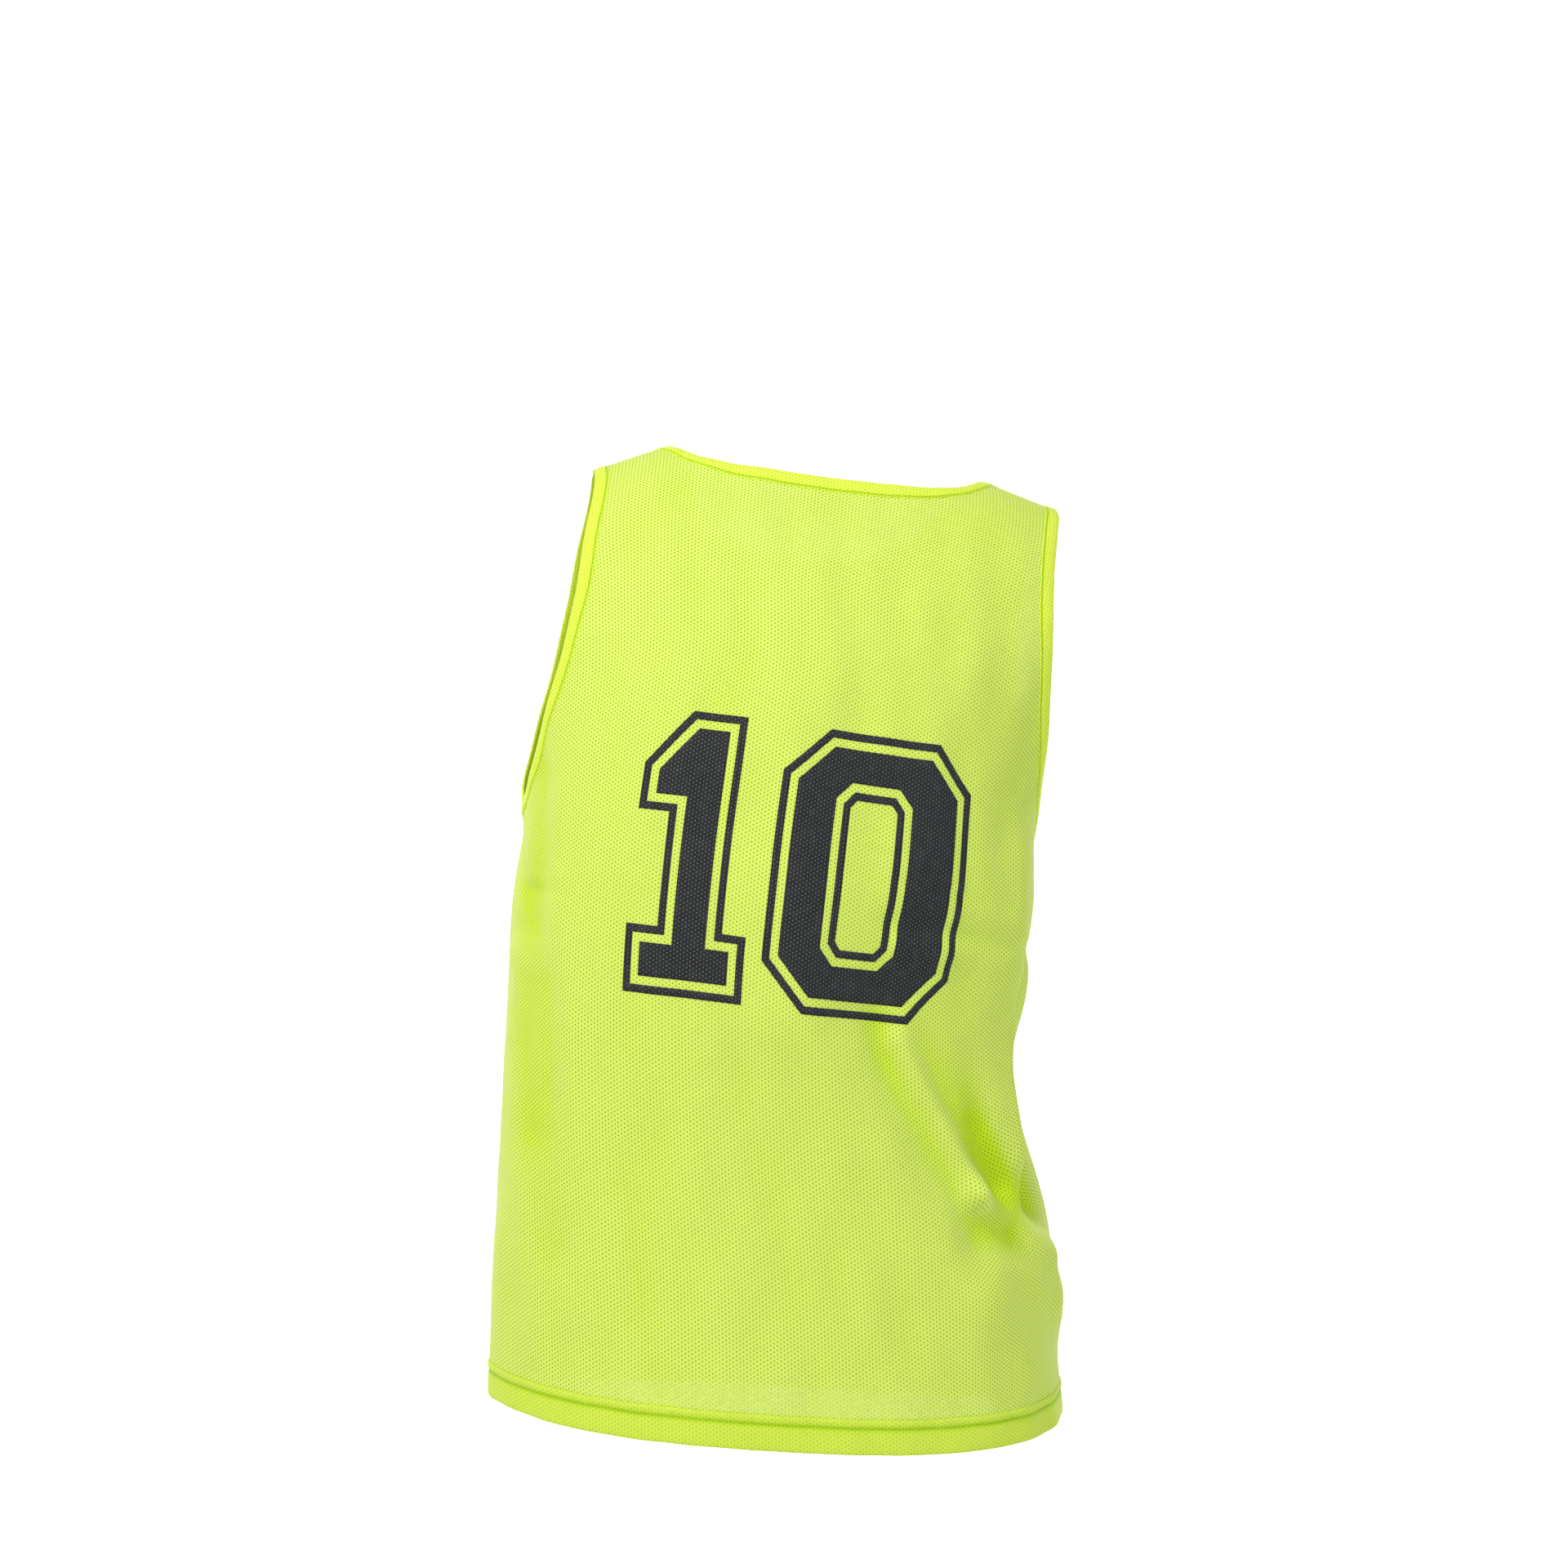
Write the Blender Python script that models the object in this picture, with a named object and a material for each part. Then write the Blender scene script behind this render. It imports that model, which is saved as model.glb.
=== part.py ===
"""Mesh training bib as it hangs when it is worn.

Two net panels are drawn flat, as they are cut, and are then laid round a hollow
body that has no wearer in it. The cut is measured across from the centre line
and up from the hem. Everything sewn on a panel uses the same two measures, so
it follows the panel wherever the cloth goes.

Metres, +Z up. The front faces -Y, the wearer's left is +X, and the origin is the
middle of the shoulder line, where the shoulders carry the bib.
"""

import math

import bmesh
import bpy
import numpy as np

# Cut of the cloth, laid flat
HALF_WIDTH = 0.285          # centre line to side seam
NECK_TO_HEM = 0.758         # neck point to hem edge
SHOULDER_SLOPE = 0.36       # fall of the strap seam for each metre across
NECK_HALF = 0.118           # centre line to neck point
STRAP_TIP = 0.180           # centre line to the armhole edge at the shoulder
UNDERARM_UP = 0.426         # hem edge to the underarm point
ARMHOLE_TOP_REACH = 0.100   # how far the armhole runs square to the strap seam
ARMHOLE_LOW_REACH = 0.050   # how far it runs square to the side seam
BACK_NECK_DROP = 0.054
FRONT_NECK_DROP = 0.115
NECK_SIDE_REACH = 0.85      # share of the neck drop that runs square to the strap seam
NECK_LOW_REACH = 0.080      # how far the neck runs level from the centre line
NECK_BINDING = 0.0125
ARMHOLE_BINDING = 0.011
HEM_BAND = 0.024
LABEL_WIDTH = 0.032
LABEL_HEIGHT = 0.021

# Thickness of each layer, and the gap at seams
NET_WALL = 0.0010
BINDING_WALL = 0.0024
HEM_WALL = 0.0022
LABEL_WALL = 0.0010
SEAM_GAP = 0.0003

# How the cloth hangs
NECK_RISE = 0.0115          # neck points above the origin
LEFT_STRAP_FALL = 0.41      # fall of each worn shoulder for each metre across
RIGHT_STRAP_FALL = 0.33
STRAP_START_SOFTNESS = 0.006
SHOULDER_TURN = 0.058       # length over which level cloth turns to hanging cloth
CENTRE_SAG = 0.015          # how much lower the middle of a panel hangs at the hem
FOLD_FREE_SHOULDER = 0.08   # folds fade out this near to the shoulder line
TILT_SPAN = 0.16            # the tilt eases off this far from the middle
SECTION_STEPS = 49          # points along each quarter section
CURVE_STEPS = 200           # points along each curved edge before they are spaced evenly
ROUND_BIB = 4.0 * HALF_WIDTH
STEP = 0.001                # short length for finding which way the cloth faces

# Level sections through the hanging cloth. Each is half a superellipse for the
# back and half for the front. down: cloth length from the shoulder line, depths:
# from the shoulder plane to the back and to the front, halves: from the middle
# to each side, shift: of the middle to the wearer's left, power: squareness,
# tilt: rise for each metre to the wearer's left.
SECTION_COLUMNS = ("down", "back", "front", "left", "right", "shift", "power", "tilt")
SECTIONS = (
    (0.00, 0.000, 0.000, 0.285, 0.285, 0.000, 2.2, 0.120),
    (0.03, 0.027, 0.027, 0.280, 0.280, 0.001, 2.2, 0.120),
    (0.06, 0.050, 0.048, 0.272, 0.270, 0.004, 2.2, 0.120),
    (0.10, 0.076, 0.072, 0.254, 0.250, 0.010, 2.3, 0.120),
    (0.15, 0.100, 0.098, 0.220, 0.226, 0.019, 2.4, 0.125),
    (0.20, 0.116, 0.116, 0.207, 0.199, 0.021, 2.4, 0.130),
    (0.27, 0.128, 0.130, 0.196, 0.183, 0.030, 2.5, 0.135),
    (0.35, 0.131, 0.136, 0.193, 0.191, 0.040, 2.5, 0.140),
    (0.45, 0.127, 0.137, 0.191, 0.180, 0.048, 2.5, 0.130),
    (0.55, 0.122, 0.134, 0.198, 0.205, 0.046, 2.4, 0.110),
    (0.65, 0.124, 0.130, 0.205, 0.207, 0.040, 2.3, 0.095),
    (0.76, 0.130, 0.127, 0.204, 0.213, 0.038, 2.3, 0.080),
)

# Folds, each a trough or a ridge along a line on the cloth. around: from the
# centre of the back, to the wearer's left, past the side seam and on round the
# front. up: from the hem. depth: out of the cloth, negative into it.
FOLD_COLUMNS = ("around_from", "up_from", "around_to", "up_to", "width", "depth_from", "depth_to")
FOLDS = (
    (-0.080, 0.715, 0.080, 0.715, 0.016, 0.012, 0.012),
    (-0.252, 0.360, -0.245, 0.175, 0.021, -0.016, -0.022),
    (-0.320, 0.300, -0.320, 0.000, 0.050, 0.012, 0.012),
    (-0.210, 0.420, -0.210, 0.180, 0.030, 0.006, 0.006),
    (-0.080, 0.330, -0.200, 0.160, 0.032, -0.003, -0.016),
    (0.000, 0.370, -0.150, 0.100, 0.045, 0.006, 0.006),
    (0.000, 0.600, 0.000, 0.300, 0.030, 0.004, 0.004),
    (0.220, 0.450, 0.215, 0.200, 0.020, -0.004, -0.004),
    (0.270, 0.100, 0.270, 0.000, 0.030, 0.004, 0.007),
    (-0.200, 0.130, -0.285, 0.080, 0.024, 0.006, 0.008),
    (0.300, 0.410, 0.235, 0.360, 0.016, -0.004, -0.005),
    (-0.300, 0.410, -0.250, 0.350, 0.018, -0.003, -0.005),
    (0.400, 0.440, 0.470, 0.180, 0.030, -0.004, -0.011),
    (0.450, 0.480, 0.530, 0.120, 0.045, 0.005, 0.006),
    (-0.410, 0.420, -0.500, 0.150, 0.032, -0.004, -0.012),
    (0.570, 0.560, 0.560, 0.200, 0.035, -0.004, -0.005),
)

# Net of each panel: number of points along each edge
HEM_COLUMNS = 34
STRAP_COLUMNS = 5
NECK_COLUMNS = 13           # from the shoulder to the centre line
SIDE_ROWS = 20
ARMHOLE_ROWS = 19
RELAX_ROUNDS = 400
LABEL_COLUMNS = 5
LABEL_ROWS = 4

COLLECTION_NAME = "mesh_training_bib"
SHARP_ANGLE = math.radians(50)


def smooth_column(table, columns, name, where):
    """Column of a table at any place, on a smooth curve through its rows."""
    rows = np.array(table)
    places = rows[:, 0]
    values = rows[:, columns.index(name)]
    slopes = np.gradient(values, places)
    row = np.clip(np.searchsorted(places, where) - 1, 0, len(places) - 2)
    step = places[row + 1] - places[row]
    part = np.clip((where - places[row]) / step, 0.0, 1.0)
    start = (1 + 2 * part) * (1 - part) ** 2 * values[row]
    start += part * (1 - part) ** 2 * step * slopes[row]
    end = part ** 2 * (3 - 2 * part) * values[row + 1]
    end -= part ** 2 * (1 - part) * step * slopes[row + 1]
    return start + end


def past_neck(across):
    """Distance outside the neck point, with a soft start."""
    outside = (np.abs(across) - NECK_HALF) / STRAP_START_SOFTNESS
    return STRAP_START_SOFTNESS * np.logaddexp(0.0, outside)


def shoulder_up(across):
    """Height of the strap seam above the hem on the flat cut."""
    return NECK_TO_HEM - SHOULDER_SLOPE * past_neck(across)


def section_point(fraction, half, depth, power):
    """Point of a quarter superellipse at a fraction of its length from the middle."""
    angle = np.linspace(0.0, math.pi / 2, SECTION_STEPS)
    shape = 2.0 / power[:, None]
    x = half[:, None] * np.sin(angle) ** shape
    y = depth[:, None] * np.cos(angle) ** shape
    lengths = np.zeros_like(x)
    lengths[:, 1:] = np.cumsum(np.hypot(np.diff(x), np.diff(y)), axis=1)
    target = fraction * lengths[:, -1]
    index = np.clip((lengths < target[:, None]).sum(axis=1) - 1, 0, SECTION_STEPS - 2)
    row = np.arange(len(fraction))
    start = lengths[row, index]
    part = (target - start) / (lengths[row, index + 1] - start)
    return (x[row, index] + part * (x[row, index + 1] - x[row, index]),
            y[row, index] + part * (y[row, index + 1] - y[row, index]))


def around_bib(across, side):
    """Cloth length from the centre of the back, to the wearer's left and on round the front."""
    hand = np.where(across >= 0, 1.0, -1.0)
    return across if side > 0 else hand * 2 * HALF_WIDTH - across


def smooth_cloth(around, up):
    """Where a point of the cloth lies on the worn bib before it is folded."""
    around = (around + ROUND_BIB / 2) % ROUND_BIB - ROUND_BIB / 2
    hand = np.where(around >= 0, 1.0, -1.0)
    on_back = np.abs(around) <= HALF_WIDTH
    across = np.where(on_back, around, hand * 2 * HALF_WIDTH - around)
    down = np.maximum(shoulder_up(across) - up, 0.0)

    def column(name):
        return smooth_column(SECTIONS, SECTION_COLUMNS, name, down)

    half = np.where(hand > 0, column("left"), column("right"))
    depth = np.where(on_back, column("back"), column("front"))
    fraction = np.abs(across) / HALF_WIDTH
    out, deep = section_point(fraction, half, depth, column("power"))
    x = column("shift") + hand * out
    y = np.where(on_back, deep, -deep)
    strap_fall = np.where(hand > 0, LEFT_STRAP_FALL, RIGHT_STRAP_FALL)
    worn_fall = SHOULDER_SLOPE + (strap_fall - SHOULDER_SLOPE) * np.exp(-down / SHOULDER_TURN)
    level = NECK_RISE - worn_fall * past_neck(across)
    fall = down - SHOULDER_TURN * (1.0 - np.exp(-down / SHOULDER_TURN))
    sag = CENTRE_SAG * (down / NECK_TO_HEM) * (1.0 - fraction ** 2)
    lean = column("tilt") * TILT_SPAN * np.tanh(x / TILT_SPAN)
    z = level - fall - sag + lean
    return np.stack([x, y, z], axis=1)


def fold_depth(around, up):
    """How far the folds move a point out of the smooth cloth."""
    total = np.zeros_like(around)
    for fold in FOLDS:
        row = dict(zip(FOLD_COLUMNS, fold))
        run = row["around_to"] - row["around_from"]
        rise = row["up_to"] - row["up_from"]
        past = (around - row["around_from"] + ROUND_BIB / 2) % ROUND_BIB - ROUND_BIB / 2
        above = up - row["up_from"]
        along = np.clip((past * run + above * rise) / (run ** 2 + rise ** 2), 0.0, 1.0)
        away = np.hypot(past - along * run, above - along * rise)
        depth = row["depth_from"] + along * (row["depth_to"] - row["depth_from"])
        total += depth * np.exp(-(away / row["width"]) ** 2)
    return total


def unit(vectors):
    return vectors / np.linalg.norm(vectors, axis=1)[:, None]


def way_out(surface, around, up):
    """Unit vectors out of the cloth, taken just below each point so as to stay off the shoulder."""
    along_around = surface(around + STEP, up) - surface(around - STEP, up)
    along_up = surface(around, up - STEP) - surface(around, up - 3 * STEP)
    return unit(np.cross(along_up, along_around))


def folded_cloth(around, up):
    """Where a point of the cloth lies on the worn, folded bib."""
    across = np.abs(around)
    across = np.where(across <= HALF_WIDTH, across, 2 * HALF_WIDTH - across)
    down = np.maximum(shoulder_up(across) - up, 0.0)
    free = 1.0 - np.exp(-(down / FOLD_FREE_SHOULDER) ** 2)
    moved = (fold_depth(around, up) * free)[:, None]
    return smooth_cloth(around, up) + way_out(smooth_cloth, around, up) * moved


def drape(cut, side, lift=0.0):
    """Worn place of points of the flat cut, lifted off the cloth; side is 1 or -1, back or front."""
    around = around_bib(cut[..., 0].ravel(), side)
    up = cut[..., 1].ravel()
    point = folded_cloth(around, up) + way_out(folded_cloth, around, up) * lift
    return point.reshape(cut.shape[:-1] + (3,))


def bezier(start, start_pull, end_pull, end, count):
    """Points on a cubic curve, spaced evenly along it."""
    t = np.linspace(0.0, 1.0, CURVE_STEPS)[:, None]
    fine = ((1 - t) ** 3 * start + 3 * t * (1 - t) ** 2 * start_pull
            + 3 * t ** 2 * (1 - t) * end_pull + t ** 3 * end)
    lengths = np.concatenate([[0.0], np.cumsum(np.linalg.norm(np.diff(fine, axis=0), axis=1))])
    even = np.linspace(0.0, lengths[-1], count)
    return np.stack([np.interp(even, lengths, fine[:, i]) for i in (0, 1)], axis=1)


def moved_in(edge, distance, start_turn, end_turn):
    """Edge moved to its right-hand side, square to itself; the turns are its end directions."""
    along = np.gradient(edge, axis=0)
    along[0] = start_turn
    along[-1] = end_turn
    along /= np.linalg.norm(along, axis=1)[:, None]
    return edge + distance * np.stack([along[:, 1], -along[:, 0]], axis=1)


def square_to_strap():
    """Unit vector on the cut, down from the wearer's left strap seam and square to it."""
    return np.array([-SHOULDER_SLOPE, -1.0]) / math.hypot(1.0, SHOULDER_SLOPE)


def snapped_to_shoulder(points, index, gap):
    """Puts one end of an edge exactly on the strap seam."""
    points[index, 1] = shoulder_up(points[index, 0]) - gap
    return points


def armhole_edge(inset, count, gap):
    """Armhole from the underarm to the shoulder on the wearer's left, moved in by inset."""
    down = square_to_strap()
    tip = np.array([STRAP_TIP, shoulder_up(STRAP_TIP)])
    underarm = np.array([HALF_WIDTH, UNDERARM_UP])
    edge = bezier(underarm, underarm - (ARMHOLE_LOW_REACH, 0.0),
                  tip + ARMHOLE_TOP_REACH * down, tip, count)
    edge = moved_in(edge, -inset, (-1.0, 0.0), -down)
    edge[0, 0] -= gap
    return snapped_to_shoulder(edge, -1, gap)


def neck_edge(drop, inset, count, gap):
    """Neckline from the wearer's left shoulder to the centre line, moved in by inset."""
    down = square_to_strap()
    start = np.array([NECK_HALF, shoulder_up(NECK_HALF)])
    centre = np.array([0.0, NECK_TO_HEM - drop])
    edge = bezier(start, start + NECK_SIDE_REACH * drop * down,
                  centre + (NECK_LOW_REACH, 0.0), centre, count)
    edge = moved_in(edge, -inset, down, (-1.0, 0.0))
    return snapped_to_shoulder(edge, 0, gap)


def panel_net(neck_drop):
    """Net of points on the flat cut of a panel, as rows from the hem to the shoulder."""
    half_gap = SEAM_GAP / 2
    side = HALF_WIDTH - half_gap
    hem = HEM_BAND + SEAM_GAP
    armhole = armhole_edge(ARMHOLE_BINDING + SEAM_GAP, ARMHOLE_ROWS, half_gap)
    seam = np.linspace((side, hem), armhole[0], SIDE_ROWS)
    right_edge = np.concatenate([seam[:-1], armhole])
    left_edge = right_edge * (-1, 1)
    neck = neck_edge(neck_drop, NECK_BINDING + SEAM_GAP, NECK_COLUMNS, half_gap)
    strap = np.linspace(armhole[-1], neck[0], STRAP_COLUMNS + 1)
    strap[:, 1] = shoulder_up(strap[:, 0]) - half_gap
    half_top = np.concatenate([strap[:-1], neck])
    top = np.concatenate([half_top * (-1, 1), half_top[-2::-1]])
    bottom = np.linspace((-side, hem), (side, hem), len(top))
    return relaxed_net(bottom, top, left_edge, right_edge)


def relaxed_net(bottom, top, left_edge, right_edge):
    """Net that fills four edges: a blend of them, evened out point by point."""
    across = np.linspace(0.0, 1.0, len(top))[None, :, None]
    upward = np.linspace(0.0, 1.0, len(left_edge))[:, None, None]
    corners = ((1 - across) * (1 - upward) * bottom[0] + across * (1 - upward) * bottom[-1]
               + (1 - across) * upward * top[0] + across * upward * top[-1])
    net = ((1 - upward) * bottom[None] + upward * top[None]
           + (1 - across) * left_edge[:, None] + across * right_edge[:, None] - corners)
    for _ in range(RELAX_ROUNDS):
        net[1:-1, 1:-1] = (net[:-2, 1:-1] + net[2:, 1:-1] + net[1:-1, :-2] + net[1:-1, 2:]) / 4
    return net


def new_material(name, colour, roughness):
    """Plain cloth finish."""
    material = bpy.data.materials.new(name)
    material.use_nodes = True
    shader = material.node_tree.nodes["Principled BSDF"]
    shader.inputs["Base Color"].default_value = (*colour, 1.0)
    shader.inputs["Roughness"].default_value = roughness
    shader.inputs["Metallic"].default_value = 0.0
    return material


def new_piece(name, outer, inner, ring, material, collection):
    """Closed wall of cloth between rows of outer points and rows of inner points."""
    rows, columns = outer.shape[:2]
    points = np.concatenate([outer.reshape(-1, 3), inner.reshape(-1, 3)])
    inside = rows * columns
    steps = columns if ring else columns - 1
    faces = []
    for row in range(rows):
        for column in range(steps):
            a = row * columns + column
            b = row * columns + (column + 1) % columns
            if row < rows - 1:
                faces.append((a, b, b + columns, a + columns))
                faces.append((a + columns + inside, b + columns + inside, b + inside, a + inside))
            if row == 0:
                faces.append((a + inside, b + inside, b, a))
            if row == rows - 1:
                faces.append((a, b, b + inside, a + inside))
        if not ring and row < rows - 1:
            a = row * columns
            b = a + columns - 1
            faces.append((a, a + columns, a + columns + inside, a + inside))
            faces.append((b + inside, b + columns + inside, b + columns, b))
    mesh = bpy.data.meshes.new(name)
    mesh.from_pydata(points.tolist(), [], faces)
    shell = bmesh.new()
    shell.from_mesh(mesh)
    bmesh.ops.recalc_face_normals(shell, faces=shell.faces)
    shell.to_mesh(mesh)
    shell.free()
    mesh.materials.append(material)
    mesh.shade_smooth()
    mesh.set_sharp_from_angle(angle=SHARP_ANGLE)
    piece = bpy.data.objects.new(name, mesh)
    collection.objects.link(piece)


def new_patch(name, cut, side, wall, material, collection, lift=0.0):
    """Piece of one panel."""
    new_piece(name, drape(cut, side, lift + wall / 2), drape(cut, side, lift - wall / 2), False,
              material, collection)


def new_ring(name, back_cut, front_cut, wall, material, collection):
    """Piece that runs along an edge of the back and returns along the same edge of the front."""
    walls = []
    for lift in (wall / 2, -wall / 2):
        back = drape(back_cut, 1, lift)
        front = drape(front_cut, -1, lift)
        walls.append(np.concatenate([back, front[:, -2:0:-1]], axis=1))
    new_piece(name, *walls, True, material, collection)


def make_panels(collection, material):
    """Back and front, alike but for the neck."""
    new_patch("back_panel", panel_net(BACK_NECK_DROP), 1, NET_WALL, material, collection)
    new_patch("front_panel", panel_net(FRONT_NECK_DROP), -1, NET_WALL, material, collection)


def make_armhole_bindings(collection, material):
    """Strips round the two armholes, from the panels' edge out to the finished edge."""
    for name, hand in (("armhole_binding_left", 1), ("armhole_binding_right", -1)):
        strip = np.stack([armhole_edge(inset, ARMHOLE_ROWS, 0.0)
                          for inset in (ARMHOLE_BINDING, ARMHOLE_BINDING / 2, 0.0)])
        strip = strip * (hand, 1)
        new_ring(name, strip, strip, BINDING_WALL, material, collection)


def whole_neck(drop, inset):
    """Neckline of one panel from the wearer's left shoulder to the right one."""
    half = neck_edge(drop, inset, NECK_COLUMNS, 0.0)
    return np.concatenate([half, half[-2::-1] * (-1, 1)])


def make_neck_binding(collection, material):
    """Strip round the neck."""
    insets = (NECK_BINDING, NECK_BINDING / 2, 0.0)
    back = np.stack([whole_neck(BACK_NECK_DROP, inset) for inset in insets])
    front = np.stack([whole_neck(FRONT_NECK_DROP, inset) for inset in insets])
    new_ring("neck_binding", back, front, BINDING_WALL, material, collection)


def make_hem_band(collection, material):
    """Turned hem, a ring below both panels."""
    across = np.linspace(HALF_WIDTH, -HALF_WIDTH, HEM_COLUMNS)
    rows = [np.stack([across, np.full(HEM_COLUMNS, up)], axis=1)
            for up in (0.0, HEM_BAND / 2, HEM_BAND)]
    band = np.stack(rows)
    new_ring("hem_band", band, band, HEM_WALL, material, collection)


def make_neck_label(collection, material):
    """Small blank label inside the back, below the neck binding."""
    top = NECK_TO_HEM - BACK_NECK_DROP - NECK_BINDING - SEAM_GAP
    across = np.linspace(-LABEL_WIDTH / 2, LABEL_WIDTH / 2, LABEL_COLUMNS)
    up = np.linspace(top - LABEL_HEIGHT, top, LABEL_ROWS)
    cut = np.stack(np.meshgrid(across, up), axis=-1)
    inside = -(NET_WALL / 2 + SEAM_GAP + LABEL_WALL / 2)
    new_patch("neck_label", cut, 1, LABEL_WALL, material, collection, inside)


def main():
    for old in list(bpy.data.objects):
        bpy.data.objects.remove(old, do_unlink=True)
    collection = bpy.data.collections.new(COLLECTION_NAME)
    bpy.context.scene.collection.children.link(collection)
    net = new_material("yellow_green_net", (0.68, 0.95, 0.10), 0.70)
    binding = new_material("yellow_green_binding", (0.66, 0.93, 0.09), 0.75)
    hem = new_material("yellow_green_hem", (0.64, 0.91, 0.08), 0.75)
    label = new_material("white_label", (0.85, 0.87, 0.82), 0.60)
    make_panels(collection, net)
    make_neck_binding(collection, binding)
    make_armhole_bindings(collection, binding)
    make_hem_band(collection, hem)
    make_neck_label(collection, label)


main()
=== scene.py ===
import math

import bmesh
import bpy
import numpy as np
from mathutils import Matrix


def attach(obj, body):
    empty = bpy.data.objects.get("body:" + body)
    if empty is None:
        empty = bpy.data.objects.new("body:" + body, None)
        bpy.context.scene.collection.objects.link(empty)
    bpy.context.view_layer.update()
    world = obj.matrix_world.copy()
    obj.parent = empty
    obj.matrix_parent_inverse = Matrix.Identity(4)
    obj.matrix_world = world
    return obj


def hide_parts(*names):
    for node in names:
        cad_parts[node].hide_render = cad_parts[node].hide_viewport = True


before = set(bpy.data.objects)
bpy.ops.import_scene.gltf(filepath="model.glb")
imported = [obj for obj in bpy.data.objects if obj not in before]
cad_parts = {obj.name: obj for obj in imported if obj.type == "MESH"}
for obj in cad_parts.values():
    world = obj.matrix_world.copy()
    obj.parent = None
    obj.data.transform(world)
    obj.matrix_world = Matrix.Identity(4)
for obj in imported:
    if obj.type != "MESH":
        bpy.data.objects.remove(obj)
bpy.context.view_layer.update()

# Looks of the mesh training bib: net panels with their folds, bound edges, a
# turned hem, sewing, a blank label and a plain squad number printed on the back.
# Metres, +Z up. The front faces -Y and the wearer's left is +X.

# Cut of the cloth, laid flat
HALF_WIDTH = 0.285          # centre line to side seam
NECK_TO_HEM = 0.758         # neck point to hem edge
SHOULDER_SLOPE = 0.36       # fall of the strap seam for each metre across
NECK_HALF = 0.118           # centre line to neck point
STRAP_TIP = 0.180           # centre line to the armhole edge at the shoulder
UNDERARM_UP = 0.426         # hem edge to the underarm point
ARMHOLE_TOP_REACH = 0.100   # how far the armhole runs square to the strap seam
ARMHOLE_LOW_REACH = 0.050   # how far it runs square to the side seam
TIP_EASE = 0.0045           # the armhole edge is eased in this much at the strap seam
TIP_EASE_SPAN = 0.016       # over about this length below it
BACK_NECK_DROP = 0.054
FRONT_NECK_DROP = 0.115
NECK_SIDE_REACH = 0.85      # share of the neck drop that runs square to the strap seam
NECK_LOW_REACH = 0.080      # how far the neck runs level from the centre line
NECK_BINDING = 0.0125
ARMHOLE_BINDING = 0.011
HEM_BAND = 0.024
LABEL_WIDTH = 0.032
LABEL_HEIGHT = 0.021        # below the neck binding
LABEL_WALL = 0.0005
LABEL_GAP = 0.0004          # between the label and the net
LABEL_CURL = 0.0012         # how far its low edge curls in
NET_WALL = 0.0008
NET_TUCK = 0.0016           # how far the net runs in under a binding or the hem

# How the cloth hangs
NECK_RISE = 0.0115          # neck points above the origin
LEFT_STRAP_FALL = 0.41      # fall of each worn shoulder for each metre across
RIGHT_STRAP_FALL = 0.33
STRAP_START_SOFTNESS = 0.006    # length over which the strap seam starts to fall
SHOULDER_TURN = 0.058       # length over which level cloth turns to hanging cloth
CENTRE_SAG = 0.015          # how much lower the middle of a panel hangs at the hem
FOLD_FREE_SHOULDER = 0.08   # folds fade out this near to the shoulder line
TILT_SPAN = 0.16            # the tilt eases off this far from the middle
SECTION_STEPS = 97          # points along each quarter section
CURVE_STEPS = 800           # points along each curved edge before they are spaced evenly
ROUND_BIB = 4.0 * HALF_WIDTH
STEP = 0.001                # short length for finding which way the cloth faces

# Level sections through the hanging cloth. down: cloth length from the shoulder
# line, depths: from the shoulder plane to the back and to the front, halves: from
# the middle to each side, shift: of the middle to the wearer's left, power:
# squareness, tilt: rise for each metre to the wearer's left.
SECTION_COLUMNS = ("down", "back", "front", "left", "right", "shift", "power", "tilt")
SECTIONS = (
    (0.00, 0.000, 0.000, 0.285, 0.285, 0.000, 2.2, 0.120),
    (0.03, 0.027, 0.027, 0.280, 0.280, 0.001, 2.2, 0.120),
    (0.06, 0.050, 0.048, 0.272, 0.270, 0.004, 2.2, 0.120),
    (0.10, 0.076, 0.072, 0.254, 0.250, 0.010, 2.3, 0.120),
    (0.15, 0.100, 0.098, 0.220, 0.226, 0.019, 2.4, 0.125),
    (0.20, 0.116, 0.116, 0.207, 0.199, 0.021, 2.4, 0.130),
    (0.27, 0.128, 0.130, 0.196, 0.183, 0.030, 2.5, 0.135),
    (0.35, 0.131, 0.136, 0.193, 0.191, 0.040, 2.5, 0.140),
    (0.45, 0.127, 0.137, 0.191, 0.180, 0.048, 2.5, 0.130),
    (0.55, 0.122, 0.134, 0.198, 0.205, 0.046, 2.4, 0.110),
    (0.65, 0.124, 0.130, 0.205, 0.207, 0.040, 2.3, 0.095),
    (0.76, 0.130, 0.127, 0.204, 0.213, 0.038, 2.3, 0.080),
)

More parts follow.
